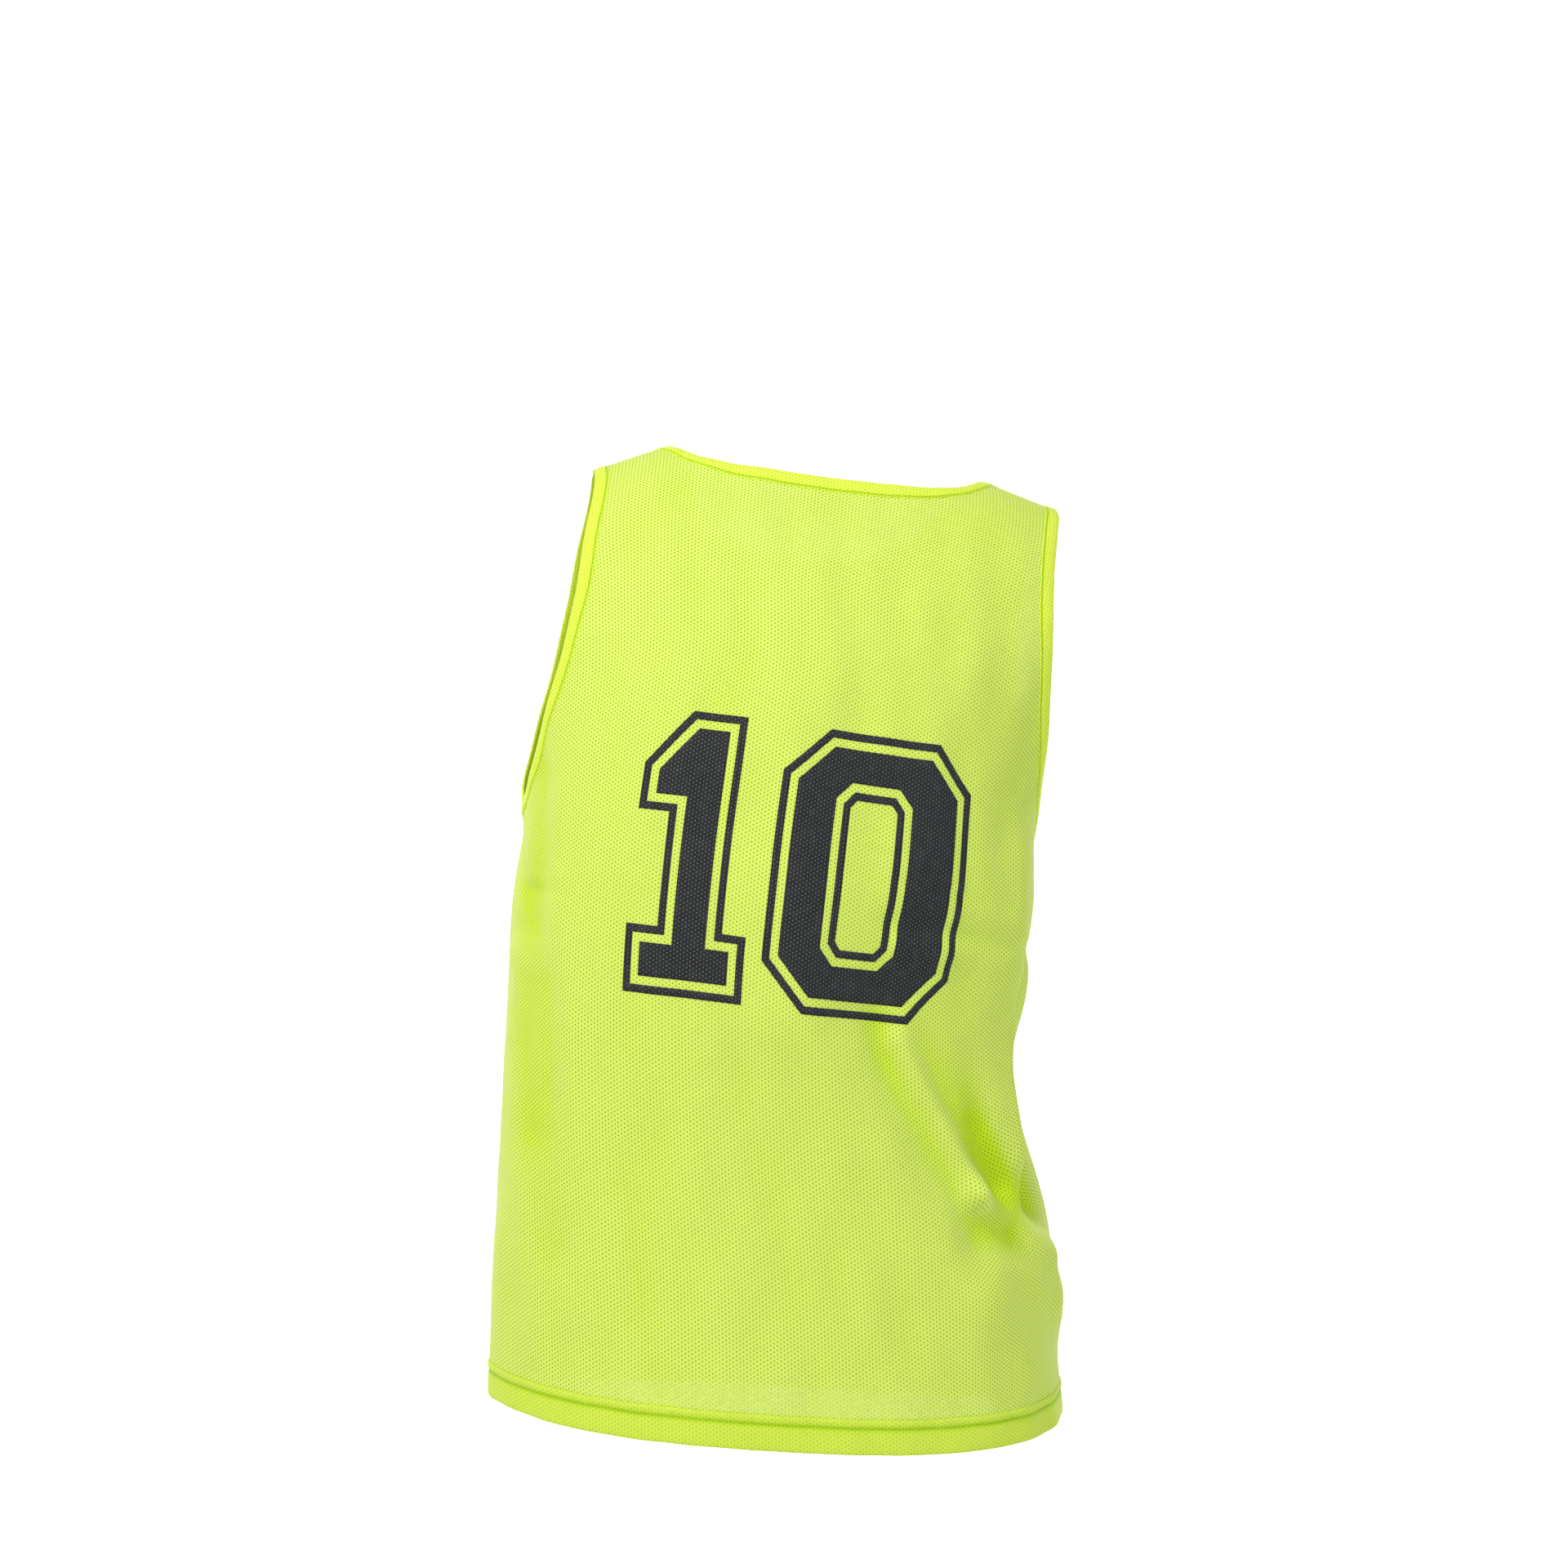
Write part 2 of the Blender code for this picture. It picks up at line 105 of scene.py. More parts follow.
# Folds, each a trough or a ridge along a line on the cloth. around: from the
# centre of the back, to the wearer's left, past the side seam and on round the
# front. up: from the hem. depth: out of the cloth, negative into it.
FOLD_COLUMNS = ("around_from", "up_from", "around_to", "up_to", "width", "depth_from", "depth_to")
MAIN_FOLDS = (
    (-0.080, 0.715, 0.080, 0.715, 0.016, 0.012, 0.012),
    (-0.252, 0.360, -0.245, 0.175, 0.021, -0.016, -0.022),
    (-0.320, 0.300, -0.320, 0.000, 0.050, 0.012, 0.012),
    (-0.210, 0.420, -0.210, 0.180, 0.030, 0.006, 0.006),
    (-0.080, 0.330, -0.200, 0.160, 0.032, -0.003, -0.016),
    (0.000, 0.370, -0.150, 0.100, 0.045, 0.006, 0.006),
    (0.000, 0.600, 0.000, 0.300, 0.030, 0.004, 0.004),
    (0.220, 0.450, 0.215, 0.200, 0.020, -0.004, -0.004),
    (0.270, 0.100, 0.270, 0.000, 0.030, 0.004, 0.007),
    (-0.200, 0.130, -0.285, 0.080, 0.024, 0.006, 0.008),
    (0.300, 0.410, 0.235, 0.360, 0.016, -0.004, -0.005),
    (-0.300, 0.410, -0.250, 0.350, 0.018, -0.003, -0.005),
    (0.400, 0.440, 0.470, 0.180, 0.030, -0.004, -0.011),
    (0.450, 0.480, 0.530, 0.120, 0.045, 0.005, 0.006),
    (-0.410, 0.420, -0.500, 0.150, 0.032, -0.004, -0.012),
    (0.570, 0.560, 0.560, 0.200, 0.035, -0.004, -0.005),
)
FINE_FOLDS = (
    (-0.040, 0.722, 0.040, 0.722, 0.024, 0.0150, 0.0150),
    (-0.066, 0.300, -0.148, 0.150, 0.028, -0.0065, -0.0090),
    (-0.020, 0.300, -0.150, 0.118, 0.030, 0.0030, 0.0035),
    (-0.097, 0.290, -0.156, 0.182, 0.011, 0.0070, 0.0120),
    (-0.156, 0.182, -0.245, 0.130, 0.014, 0.0090, 0.0060),
    (-0.115, 0.300, -0.145, 0.235, 0.024, 0.0030, 0.0040),
    (-0.172, 0.230, -0.192, 0.186, 0.013, -0.0040, -0.0100),
    (-0.222, 0.300, -0.214, 0.205, 0.010, 0.0050, 0.0060),
    (-0.075, 0.373, -0.190, 0.365, 0.008, -0.0022, -0.0016),
    (-0.090, 0.359, -0.150, 0.353, 0.008, 0.0022, 0.0016),
    (-0.290, 0.350, -0.170, 0.362, 0.007, -0.0018, -0.0012),
    (-0.045, 0.322, -0.105, 0.306, 0.008, 0.0022, 0.0016),
    (0.250, 0.366, 0.180, 0.370, 0.005, -0.0018, -0.0010),
    (0.262, 0.335, 0.205, 0.342, 0.009, -0.0030, -0.0010),
    (0.268, 0.318, 0.215, 0.318, 0.010, 0.0022, 0.0008),
    (0.262, 0.300, 0.228, 0.250, 0.012, -0.0024, -0.0010),
    (0.190, 0.300, 0.186, 0.120, 0.016, -0.0018, -0.0024),
    (0.165, 0.340, 0.160, 0.080, 0.018, 0.0016, 0.0020),
    (0.120, 0.190, 0.105, 0.040, 0.016, -0.0012, -0.0018),
    (0.070, 0.230, 0.045, 0.045, 0.020, 0.0012, 0.0016),
    (-0.215, 0.400, -0.208, 0.330, 0.012, -0.0016, -0.0020),
    (-0.195, 0.150, -0.240, 0.108, 0.010, -0.0030, -0.0020),
    (-0.180, 0.120, -0.270, 0.060, 0.012, -0.0024, -0.0022),
    (-0.150, 0.110, -0.210, 0.045, 0.016, 0.0018, 0.0014),
    (-0.060, 0.180, -0.110, 0.050, 0.018, -0.0012, -0.0016),
    (0.130, 0.420, -0.190, 0.392, 0.0035, -0.0006, -0.0006),
    (0.060, 0.560, 0.050, 0.440, 0.020, -0.0012, -0.0012),
    (-0.120, 0.560, -0.100, 0.420, 0.024, 0.0014, 0.0010),
    (-0.180, 0.520, -0.186, 0.400, 0.016, -0.0016, -0.0012),
    (0.175, 0.560, 0.190, 0.430, 0.018, 0.0014, 0.0016),
    (0.100, 0.690, 0.150, 0.620, 0.018, -0.0012, -0.0010),
    (-0.105, 0.690, -0.150, 0.610, 0.018, -0.0012, -0.0010),
    (0.330, 0.400, 0.350, 0.300, 0.012, -0.0024, -0.0012),
    (-0.330, 0.395, -0.352, 0.290, 0.013, -0.0022, -0.0012),
    (0.350, 0.250, 0.356, 0.060, 0.018, 0.0022, 0.0026),
    (-0.360, 0.240, -0.372, 0.050, 0.018, -0.0020, -0.0026),
    (0.430, 0.330, 0.480, 0.230, 0.012, -0.0022, -0.0026),
    (-0.455, 0.330, -0.510, 0.210, 0.012, 0.0020, 0.0022),
    (0.500, 0.250, 0.515, 0.060, 0.018, -0.0016, -0.0022),
    (-0.530, 0.260, -0.540, 0.070, 0.020, 0.0014, 0.0020),
    (0.440, 0.610, 0.455, 0.520, 0.016, -0.0014, -0.0012),
    (-0.445, 0.600, -0.460, 0.500, 0.016, -0.0014, -0.0012),
)

# Faint waves of limp net, each by its waves round the bib, its rate up the cloth in
# radians a metre, and its start. The paired two multiply each other. Each cross
# ripple is added with its share of their height.
RIPPLE_HEIGHT = 0.0006
PAIRED_RIPPLES = ((17, 9.0, 0.0), (5, 23.0, 0.7))
CROSS_RIPPLES = ((0.7, (29, -31.0, 1.9)), (0.5, (11, 67.0, 4.1)))

# Fineness of the meshes
HEM_COLUMNS = 170           # of a panel, from one side seam to the other
STRAP_COLUMNS = 22
SIDE_ROWS = 100             # from the hem to the underarm
ARMHOLE_ROWS = 84
RELAX_ROUNDS = 3000         # rounds in which the points of a panel are evened out
LABEL_STEPS = 24            # points along each side of the label

# Sections of the folded strips: share of the strip's width from its fold, half its thickness there,
# and how far down that place lies in the line of sewing, which sets its painted shade.
BINDING_PROFILE = (
    (0.00, 0.00000, 0.0), (0.03, 0.00050, 0.0), (0.09, 0.00092, 0.0), (0.22, 0.00130, 0.0),
    (0.45, 0.00142, 0.0), (0.66, 0.00130, 0.0), (0.77, 0.00105, 0.1), (0.83, 0.00062, 0.8),
    (0.86, 0.00056, 1.0), (0.89, 0.00062, 0.8), (0.93, 0.00096, 0.1), (0.97, 0.00090, 0.0),
    (1.00, 0.00045, 0.3),
)
HEM_PROFILE = (
    (0.000, 0.00000, 0.0), (0.010, 0.00045, 0.0), (0.035, 0.00090, 0.0), (0.100, 0.00120, 0.0),
    (0.300, 0.00118, 0.0), (0.520, 0.00115, 0.0), (0.660, 0.00100, 0.1), (0.720, 0.00070, 0.4),
    (0.760, 0.00054, 0.6), (0.795, 0.00066, 0.5), (0.840, 0.00120, 0.1), (0.900, 0.00165, 0.0),
    (0.955, 0.00170, 0.0), (1.000, 0.00130, 0.0), (1.030, 0.00070, 0.3), (1.040, 0.00045, 0.3),
)
STITCH_LINE = 0.86          # share of a binding's width
HEM_STITCH_LINE = 0.760
GROOVE_SHADE = -0.016       # fold depth whose painted shade the bottom of the line of sewing gets
STITCH_PITCH = 0.0031
STITCH_LENGTH = 0.0024
STITCH_RADIUS = 0.00028
STITCH_SIDES = 6
STITCH_SHAPE = ((0.0, 0.25), (0.2, 1.0), (0.8, 1.0), (1.0, 0.25))   # shares of length and radius

# Net: staggered columns of round holes
HOLE_COLUMN_PITCH = 0.00255
HOLE_PITCH = 0.00295
HOLE_RADIUS = 0.00053
HOLE_SOFT_EDGE = 0.00009
HOLE_FIBRES = 0.55          # share of a hole that loose fibres close, on each face of the net
INK_HOLE_RADIUS = 0.00046
INK_HOLE_FIBRES = 0.6       # the same for the holes of the print, whose fibres took little ink
HOLE_RIM = (0.9, 1.7)       # shares of a hole's radius between which its edge rounds up
INK_HOLE_RIM = (0.8, 1.8)

# Printed number: traditional block figures, a fill inside a separate outline
NUMBER_HEIGHT = 0.1995
OUTLINE_STROKE = 0.0056
OUTLINE_GAP = 0.0062
ONE_WIDTH = 0.0917
ONE_FOOT = 0.047
ONE_STEM = (0.0246, 0.0737)         # left and right side of the stem
ONE_FLAG = (0.001, 0.127, 0.160)    # left side, low end and high end of the flag
ONE_TOP_LEFT = 0.033
ZERO_WIDTH = 0.1545
ZERO_CHAMFER = (0.0325, 0.033)      # run and rise of its cut corners
ZERO_STROKE = 0.0347                # of its fill, at the sides
ZERO_CAP_STROKE = 0.0235            # of its fill, at the top and the bottom
ZERO_HOLE_SHIFT = -0.0035           # the hole lies this far off the middle, to its left
ZERO_HOLE_CHAMFER = (0.0115, 0.0120)
COUNTER_CHAMFER = (0.0080, 0.0090)  # of the outline inside the hole
FIGURE_SPACE = 0.013                # between the two figures
NUMBER_CENTRE_ACROSS = -0.0079      # middle of the print on the cut, to the wearer's left
NUMBER_BOTTOM_UP = 0.3037           # bottom of the print, from the hem
NUMBER_TURN = 0.0164                # the print sits this much off level, low on its right
INK_LIFT = 0.00020                  # between the net and the ink
INK_WALL = 0.00010
PRINT_CELL = 0.0033                 # the print is cut in cells of this size, to follow folds

# Colours, linear
NET_COLOUR = (0.72, 0.87, 0.140)
BINDING_COLOUR = (0.80, 0.93, 0.090)
HEM_COLOUR = (0.70, 0.86, 0.085)
HOLLOW_PAINTED_SHADE = (0.86, 0.95, 0.10)    # painted shade: share of the net's colour down in a fold
GROOVE_PAINTED_SHADE = (0.68, 0.84, 0.10)    # painted shade: share of a strip's colour down in its line of sewing
PAINTED_SHADE_SPAN = (-0.009, 0.001)   # fold depths over which the painted shade fades out to the plain colour
HOLE_RIM_PAINTED_SHADE = (0.86, 0.93, 0.60)  # painted shade: share of the net's colour round a hole
DOT_PAINTED_SHADE = (0.74, 0.85, 0.40)       # painted shade: share of a strip's colour where holes of its layers meet
THREAD_COLOUR = (0.34, 0.54, 0.014)
INK_COLOUR = (0.020, 0.021, 0.023)
# pale grey in the print's holes: partly fibres that took little ink, partly painted glint
INK_HOLE_FIBRE_AND_GLINT_COLOUR = (0.22, 0.23, 0.22)
LABEL_COLOUR = (0.85, 0.87, 0.80)
WORN_INK_TONE = 1.6                 # of the ink's colour, where it is worn
THREAD_SHADE = 0.8                  # of the thread's colour, between its twists
LABEL_SHADE = 0.9                   # of the label's colour, between its threads
WHITE = (1.0, 1.0, 1.0)

# Fine unevenness: scale and detail of the noise, and the span in which the tone changes
INK_WEAR = (150.0, 5.0, (0.45, 0.80))
THREAD_TWIST = (900.0, 2.0, (0.3, 0.7))
LABEL_WEAVE_SCALE = 700.0

# Finishes, by the names of the shader's inputs
CLOTH_FINISH = {"Roughness": 0.65, "Specular IOR Level": 0.15, "Sheen Weight": 0.12,
                "Sheen Roughness": 0.45, "Sheen Tint": (1.0, 1.0, 0.8, 1.0)}
INK_FINISH = {"Roughness": 0.62, "Specular IOR Level": 0.2}
THREAD_FINISH = {"Roughness": 0.5}
LABEL_FINISH = {"Roughness": 0.5}
STUDIO_FINISH = {"Base Color": (0.92, 0.92, 0.92, 1.0), "Roughness": 0.9}
CLOTH_BUMP = (0.4, 0.0003)          # strength, and height of the threads over the holes
INK_BUMP = (0.5, 0.0002)

# Camera of the photograph, with its lens and the width of its sensor in millimetres
CAMERA_AZIMUTH = math.radians(173.5)
CAMERA_DISTANCE = 2.4
CAMERA_TARGET = (0.032, 0.0, -0.228)
CAMERA_LENS = 73.8
CAMERA_SENSOR = 36.0
VIEW_END = 50.0

# Studio: a flat round floor that curves up into a wall
FLOOR_Z = -1.42
BOWL_RADIUS = 7.0
BOWL_BEND = 2.0             # radius of the curve from floor to wall
BOWL_BEND_STEPS = 16
BOWL_TOP = 9.0              # height of the wall above the floor
BOWL_SIDES = 96
BOWL_MERGE = 0.0001         # points of the bowl nearer than this become one
WORLD_STRENGTH = 0.28

# Lights: name, place, target, side of its square, power in watts, colour
BIB_MIDDLE = (0.0, 0.0, -0.3)
LIGHTS = (
    ("key", (1.45, 1.8, 1.9), (0.0, 0.0, -0.2), 1.1, 62.0, WHITE),
    ("fill", (-2.6, 2.8, 0.4), BIB_MIDDLE, 2.0, 19.0, (0.75, 0.88, 1.0)),
    ("front", (-1.2, -3.2, 1.4), BIB_MIDDLE, 2.0, 5.0, WHITE),
    ("wall_left", (3.6, -3.4, 1.6), (1.0, -7.0, 0.4), 3.0, 185.0, WHITE),
    ("wall_right", (-3.6, -3.4, 1.6), (-1.0, -7.0, 0.4), 3.0, 185.0, WHITE),
)


# Cut and drape of the cloth


def smooth_column(table, columns, name, where):
    """Column of a table at any place, on a smooth curve through its rows."""
    rows = np.array(table)
    places = rows[:, 0]
    values = rows[:, columns.index(name)]
    slopes = np.gradient(values, places)
    row = np.clip(np.searchsorted(places, where) - 1, 0, len(places) - 2)
    step = places[row + 1] - places[row]
    part = np.clip((where - places[row]) / step, 0.0, 1.0)
    start = (1 + 2 * part) * (1 - part) ** 2 * values[row]
    start += part * (1 - part) ** 2 * step * slopes[row]
    end = part ** 2 * (3 - 2 * part) * values[row + 1]
    end -= part ** 2 * (1 - part) * step * slopes[row + 1]
    return start + end


def past_neck(across):
    """Distance outside the neck point, with a soft start."""
    outside = (np.abs(across) - NECK_HALF) / STRAP_START_SOFTNESS
    return STRAP_START_SOFTNESS * np.logaddexp(0.0, outside)


def shoulder_up(across):
    """Height of the strap seam above the hem on the flat cut."""
    return NECK_TO_HEM - SHOULDER_SLOPE * past_neck(across)


def section_point(fraction, half, depth, power):
    """Point of a quarter superellipse at a fraction of its length from the middle."""
    angle = np.linspace(0.0, math.pi / 2, SECTION_STEPS)
    shape = 2.0 / power[:, None]
    x = half[:, None] * np.sin(angle) ** shape
    y = depth[:, None] * np.cos(angle) ** shape
    lengths = np.zeros_like(x)
    lengths[:, 1:] = np.cumsum(np.hypot(np.diff(x), np.diff(y)), axis=1)
    target = fraction * lengths[:, -1]
    index = np.clip((lengths < target[:, None]).sum(axis=1) - 1, 0, SECTION_STEPS - 2)
    row = np.arange(len(fraction))
    start = lengths[row, index]
    part = (target - start) / (lengths[row, index + 1] - start)
    return (x[row, index] + part * (x[row, index + 1] - x[row, index]),
            y[row, index] + part * (y[row, index + 1] - y[row, index]))


def around_bib(across, side):
    """Cloth length from the centre of the back, to the wearer's left and on round the front."""
    hand = np.where(across >= 0, 1.0, -1.0)
    return across if side > 0 else hand * 2 * HALF_WIDTH - across


def smooth_cloth(around, up):
    """Where a point of the cloth lies on the worn bib before it is folded."""
    around = (around + ROUND_BIB / 2) % ROUND_BIB - ROUND_BIB / 2
    hand = np.where(around >= 0, 1.0, -1.0)
    on_back = np.abs(around) <= HALF_WIDTH
    across = np.where(on_back, around, hand * 2 * HALF_WIDTH - around)
    down = np.maximum(shoulder_up(across) - up, 0.0)

    def column(name):
        return smooth_column(SECTIONS, SECTION_COLUMNS, name, down)

    half = np.where(hand > 0, column("left"), column("right"))
    depth = np.where(on_back, column("back"), column("front"))
    fraction = np.abs(across) / HALF_WIDTH
    out, deep = section_point(fraction, half, depth, column("power"))
    x = column("shift") + hand * out
    y = np.where(on_back, deep, -deep)
    strap_fall = np.where(hand > 0, LEFT_STRAP_FALL, RIGHT_STRAP_FALL)
    worn_fall = SHOULDER_SLOPE + (strap_fall - SHOULDER_SLOPE) * np.exp(-down / SHOULDER_TURN)
    level = NECK_RISE - worn_fall * past_neck(across)
    fall = down - SHOULDER_TURN * (1.0 - np.exp(-down / SHOULDER_TURN))
    sag = CENTRE_SAG * (down / NECK_TO_HEM) * (1.0 - fraction ** 2)
    lean = column("tilt") * TILT_SPAN * np.tanh(x / TILT_SPAN)
    z = level - fall - sag + lean
    return np.stack([x, y, z], axis=1)


def ripple(around, up):
    """Faint unevenness of limp net."""
    turn = 2 * math.pi / ROUND_BIB

    def wave(waves_round, rate_up, start):
        return np.sin(waves_round * turn * around + rate_up * up + start)

    first, second = PAIRED_RIPPLES
    total = wave(*first) * wave(*second)
    for share, shape in CROSS_RIPPLES:
        total += share * wave(*shape)
    return RIPPLE_HEIGHT * total


def fold_depth(around, up):
    """How far the folds move a point out of the smooth cloth."""
    total = ripple(around, up)
    for fold in MAIN_FOLDS + FINE_FOLDS:
        row = dict(zip(FOLD_COLUMNS, fold))
        run = row["around_to"] - row["around_from"]
        rise = row["up_to"] - row["up_from"]
        past = (around - row["around_from"] + ROUND_BIB / 2) % ROUND_BIB - ROUND_BIB / 2
        above = up - row["up_from"]
        along = np.clip((past * run + above * rise) / (run ** 2 + rise ** 2), 0.0, 1.0)
        away = np.hypot(past - along * run, above - along * rise)
        depth = row["depth_from"] + along * (row["depth_to"] - row["depth_from"])
        total += depth * np.exp(-(away / row["width"]) ** 2)
    return total


def unit(vectors):
    return vectors / np.linalg.norm(vectors, axis=1)[:, None]


def faces_out(surface, point, around, up):
    """Unit vectors out of the cloth at points that lie on a surface."""
    along_around = surface(around + STEP, up) - point
    along_up = point - surface(around, up - STEP)
    return unit(np.cross(along_up, along_around))


def folded_cloth(around, up):
    """Where a point of the cloth lies on the worn, folded bib."""
    point = smooth_cloth(around, up)
    outward = faces_out(smooth_cloth, point, around, up)
    across = np.abs((around + ROUND_BIB / 2) % ROUND_BIB - ROUND_BIB / 2)
    across = np.where(across <= HALF_WIDTH, across, 2 * HALF_WIDTH - across)
    down = np.maximum(shoulder_up(across) - up, 0.0)
    free = 1.0 - np.exp(-(down / FOLD_FREE_SHOULDER) ** 2)
    return point + outward * (fold_depth(around, up) * free)[:, None]


def draped(cut, side):
    """Worn place of points of the flat cut, and the way out there; side is 1 or -1, back or front."""
    around = around_bib(cut[..., 0].ravel(), side)
    up = cut[..., 1].ravel()
    point = folded_cloth(around, up)
    outward = faces_out(folded_cloth, point, around, up)
    return point.reshape(cut.shape[:-1] + (3,)), outward.reshape(cut.shape[:-1] + (3,))


def bezier(start, start_pull, end_pull, end, count):
    """Points on a cubic curve, spaced evenly along it."""
    t = np.linspace(0.0, 1.0, CURVE_STEPS)[:, None]
    fine = ((1 - t) ** 3 * start + 3 * t * (1 - t) ** 2 * start_pull
            + 3 * t ** 2 * (1 - t) * end_pull + t ** 3 * end)
    lengths = np.concatenate([[0.0], np.cumsum(np.linalg.norm(np.diff(fine, axis=0), axis=1))])
    even = np.linspace(0.0, lengths[-1], count)
    return np.stack([np.interp(even, lengths, fine[:, i]) for i in (0, 1)], axis=1)


def moved_in(edge, distance, start_turn, end_turn):
    """Edge moved to its right-hand side, square to itself; the turns are its end directions."""
    along = np.gradient(edge, axis=0)
    along[0] = start_turn
    along[-1] = end_turn
    along /= np.linalg.norm(along, axis=1)[:, None]
    return edge + distance * np.stack([along[:, 1], -along[:, 0]], axis=1)


def square_to_strap():
    """Unit vector on the cut, down square to the strap seam."""
    return np.array([-SHOULDER_SLOPE, -1.0]) / math.hypot(1.0, SHOULDER_SLOPE)


def armhole_edge(inset):
    """Armhole from the underarm to the shoulder on the wearer's left, moved in by inset."""
    down = square_to_strap()
    tip = np.array([STRAP_TIP, shoulder_up(STRAP_TIP)])
    underarm = np.array([HALF_WIDTH, UNDERARM_UP])
    edge = bezier(underarm, underarm - (ARMHOLE_LOW_REACH, 0.0),
                  tip + ARMHOLE_TOP_REACH * down, tip, ARMHOLE_ROWS)
    edge = moved_in(edge, -inset, (-1.0, 0.0), -down)
    below_tip = np.linalg.norm(edge - edge[-1], axis=1)
    edge[:, 0] -= TIP_EASE * np.exp(-(below_tip / TIP_EASE_SPAN) ** 2)
    edge[-1, 1] = shoulder_up(edge[-1, 0])
    return edge


def neck_edge(drop, inset, count):
    """Neckline from the wearer's left shoulder to the centre line, moved in by inset."""
    down = square_to_strap()
    start = np.array([NECK_HALF, shoulder_up(NECK_HALF)])
    centre = np.array([0.0, NECK_TO_HEM - drop])
    edge = bezier(start, start + NECK_SIDE_REACH * drop * down,
                  centre + (NECK_LOW_REACH, 0.0), centre, count)
    edge = moved_in(edge, -inset, down, (-1.0, 0.0))
    edge[0, 1] = shoulder_up(edge[0, 0])
    return edge


def whole_neck(drop, inset, columns):
    """Neckline of one panel from the wearer's left shoulder to the right one."""
    half = neck_edge(drop, inset, columns)
    return np.concatenate([half, half[-2::-1] * (-1, 1)])


def neck_columns():
    """Points along half a neckline, so that the top of a panel has as many columns as its hem."""
    return (HEM_COLUMNS - 2 * STRAP_COLUMNS) // 2 + 1


def panel_net(neck_drop):
    """Net of points on the flat cut of a panel, as rows from the hem to the shoulder."""
    hem = HEM_BAND - NET_TUCK
    armhole = armhole_edge(ARMHOLE_BINDING - NET_TUCK)
    seam = np.linspace((HALF_WIDTH, hem), armhole[0], SIDE_ROWS)
    right_edge = np.concatenate([seam[:-1], armhole])
    left_edge = right_edge * (-1, 1)
    neck = neck_edge(neck_drop, NECK_BINDING - NET_TUCK, neck_columns())
    strap = np.linspace(armhole[-1], neck[0], STRAP_COLUMNS + 1)
    strap[:, 1] = shoulder_up(strap[:, 0])
    half_top = np.concatenate([strap[:-1], neck])
    top = np.concatenate([half_top * (-1, 1), half_top[-2::-1]])
    bottom = np.linspace((-HALF_WIDTH, hem), (HALF_WIDTH, hem), len(top))
    return relaxed_net(bottom, top, left_edge, right_edge)


def relaxed_net(bottom, top, left_edge, right_edge):
    """Net that fills four edges: a blend of them, evened out point by point."""
    across = np.linspace(0.0, 1.0, len(top))[None, :, None]
    upward = np.linspace(0.0, 1.0, len(left_edge))[:, None, None]
    corners = ((1 - across) * (1 - upward) * bottom[0] + across * (1 - upward) * bottom[-1]
               + (1 - across) * upward * top[0] + across * upward * top[-1])
    net = ((1 - upward) * bottom[None] + upward * top[None]
           + (1 - across) * left_edge[:, None] + across * right_edge[:, None] - corners)
    for _ in range(RELAX_ROUNDS):
        net[1:-1, 1:-1] = (net[:-2, 1:-1] + net[2:, 1:-1] + net[1:-1, :-2] + net[1:-1, 2:]) / 4
    return net


# Meshes


def finish_piece(name, points, faces, cut, material, nodes=(), depth=None):
    """Smooth mesh object in the frame, with the flat cut as its texture coordinates.

    Depth, for cloth whose painted shade follows it, is how far each point lies out of the smooth
    cloth, negative down in a fold or in a line of sewing."""
    mesh = bpy.data.meshes.new(name)
    mesh.from_pydata(points.tolist(), [], faces)
    layer = mesh.uv_layers.new(name="flat_cut")
    corners = np.zeros(len(mesh.loops), dtype=np.int32)
    mesh.loops.foreach_get("vertex_index", corners)
    layer.data.foreach_set("uv", cut[corners].astype(np.float32).ravel())
    # the fold depth is kept on the mesh to set painted shade in the cloth's material
    if depth is not None:
        folds = mesh.attributes.new("fold_depth", "FLOAT", "POINT")
        folds.data.foreach_set("value", depth.astype(np.float32))
    shell = bmesh.new()
    shell.from_mesh(mesh)
    bmesh.ops.recalc_face_normals(shell, faces=shell.faces)
    shell.to_mesh(mesh)
    shell.free()
    mesh.materials.append(material)
    mesh.shade_smooth()
    piece = bpy.data.objects.new(name, mesh)
    bpy.context.scene.collection.objects.link(piece)
    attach(piece, "root")
    if nodes:
        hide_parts(*nodes)
    return piece


def sheet_faces(rows, columns):
    """Faces of a wall of cloth with open ends: an outer and an inner net, and their four edges."""
    inside = rows * columns
    grid = np.arange(inside).reshape(rows, columns)
    a = grid[:-1, :-1].ravel()
    b = grid[:-1, 1:].ravel()
    c = grid[1:, 1:].ravel()
    d = grid[1:, :-1].ravel()
    faces = np.stack([a, b, c, d], axis=1).tolist()
    faces += (np.stack([d, c, b, a], axis=1) + inside).tolist()
    rim = np.concatenate([grid[0], grid[1:, -1], grid[-1, -2::-1], grid[-2:0:-1, 0]])
    faces += [(int(p), int(p) + inside, int(q) + inside, int(q))
              for p, q in zip(rim, np.roll(rim, -1))]
    return faces


def two_faces(middle, outward, outer_lift, inner_lift):
    """Points of the outer face of a wall of cloth, then of its inner face."""
    return np.concatenate([(middle + outward * outer_lift).reshape(-1, 3),
                           (middle + outward * inner_lift).reshape(-1, 3)])


def net_panel(name, neck_drop, side, material, node):
    """Panel of net, from the hem to the bindings."""
    cut = panel_net(neck_drop)
    rows, columns = cut.shape[:2]
    middle, outward = draped(cut, side)
    points = two_faces(middle, outward, NET_WALL / 2, -NET_WALL / 2)
    flat = np.tile(cut.reshape(-1, 2), (2, 1))
    # the fold depth also sets the net's painted shade
    return finish_piece(name, points, sheet_faces(rows, columns), flat, material, [node],
                        fold_depth(around_bib(flat[:, 0], side), flat[:, 1]))


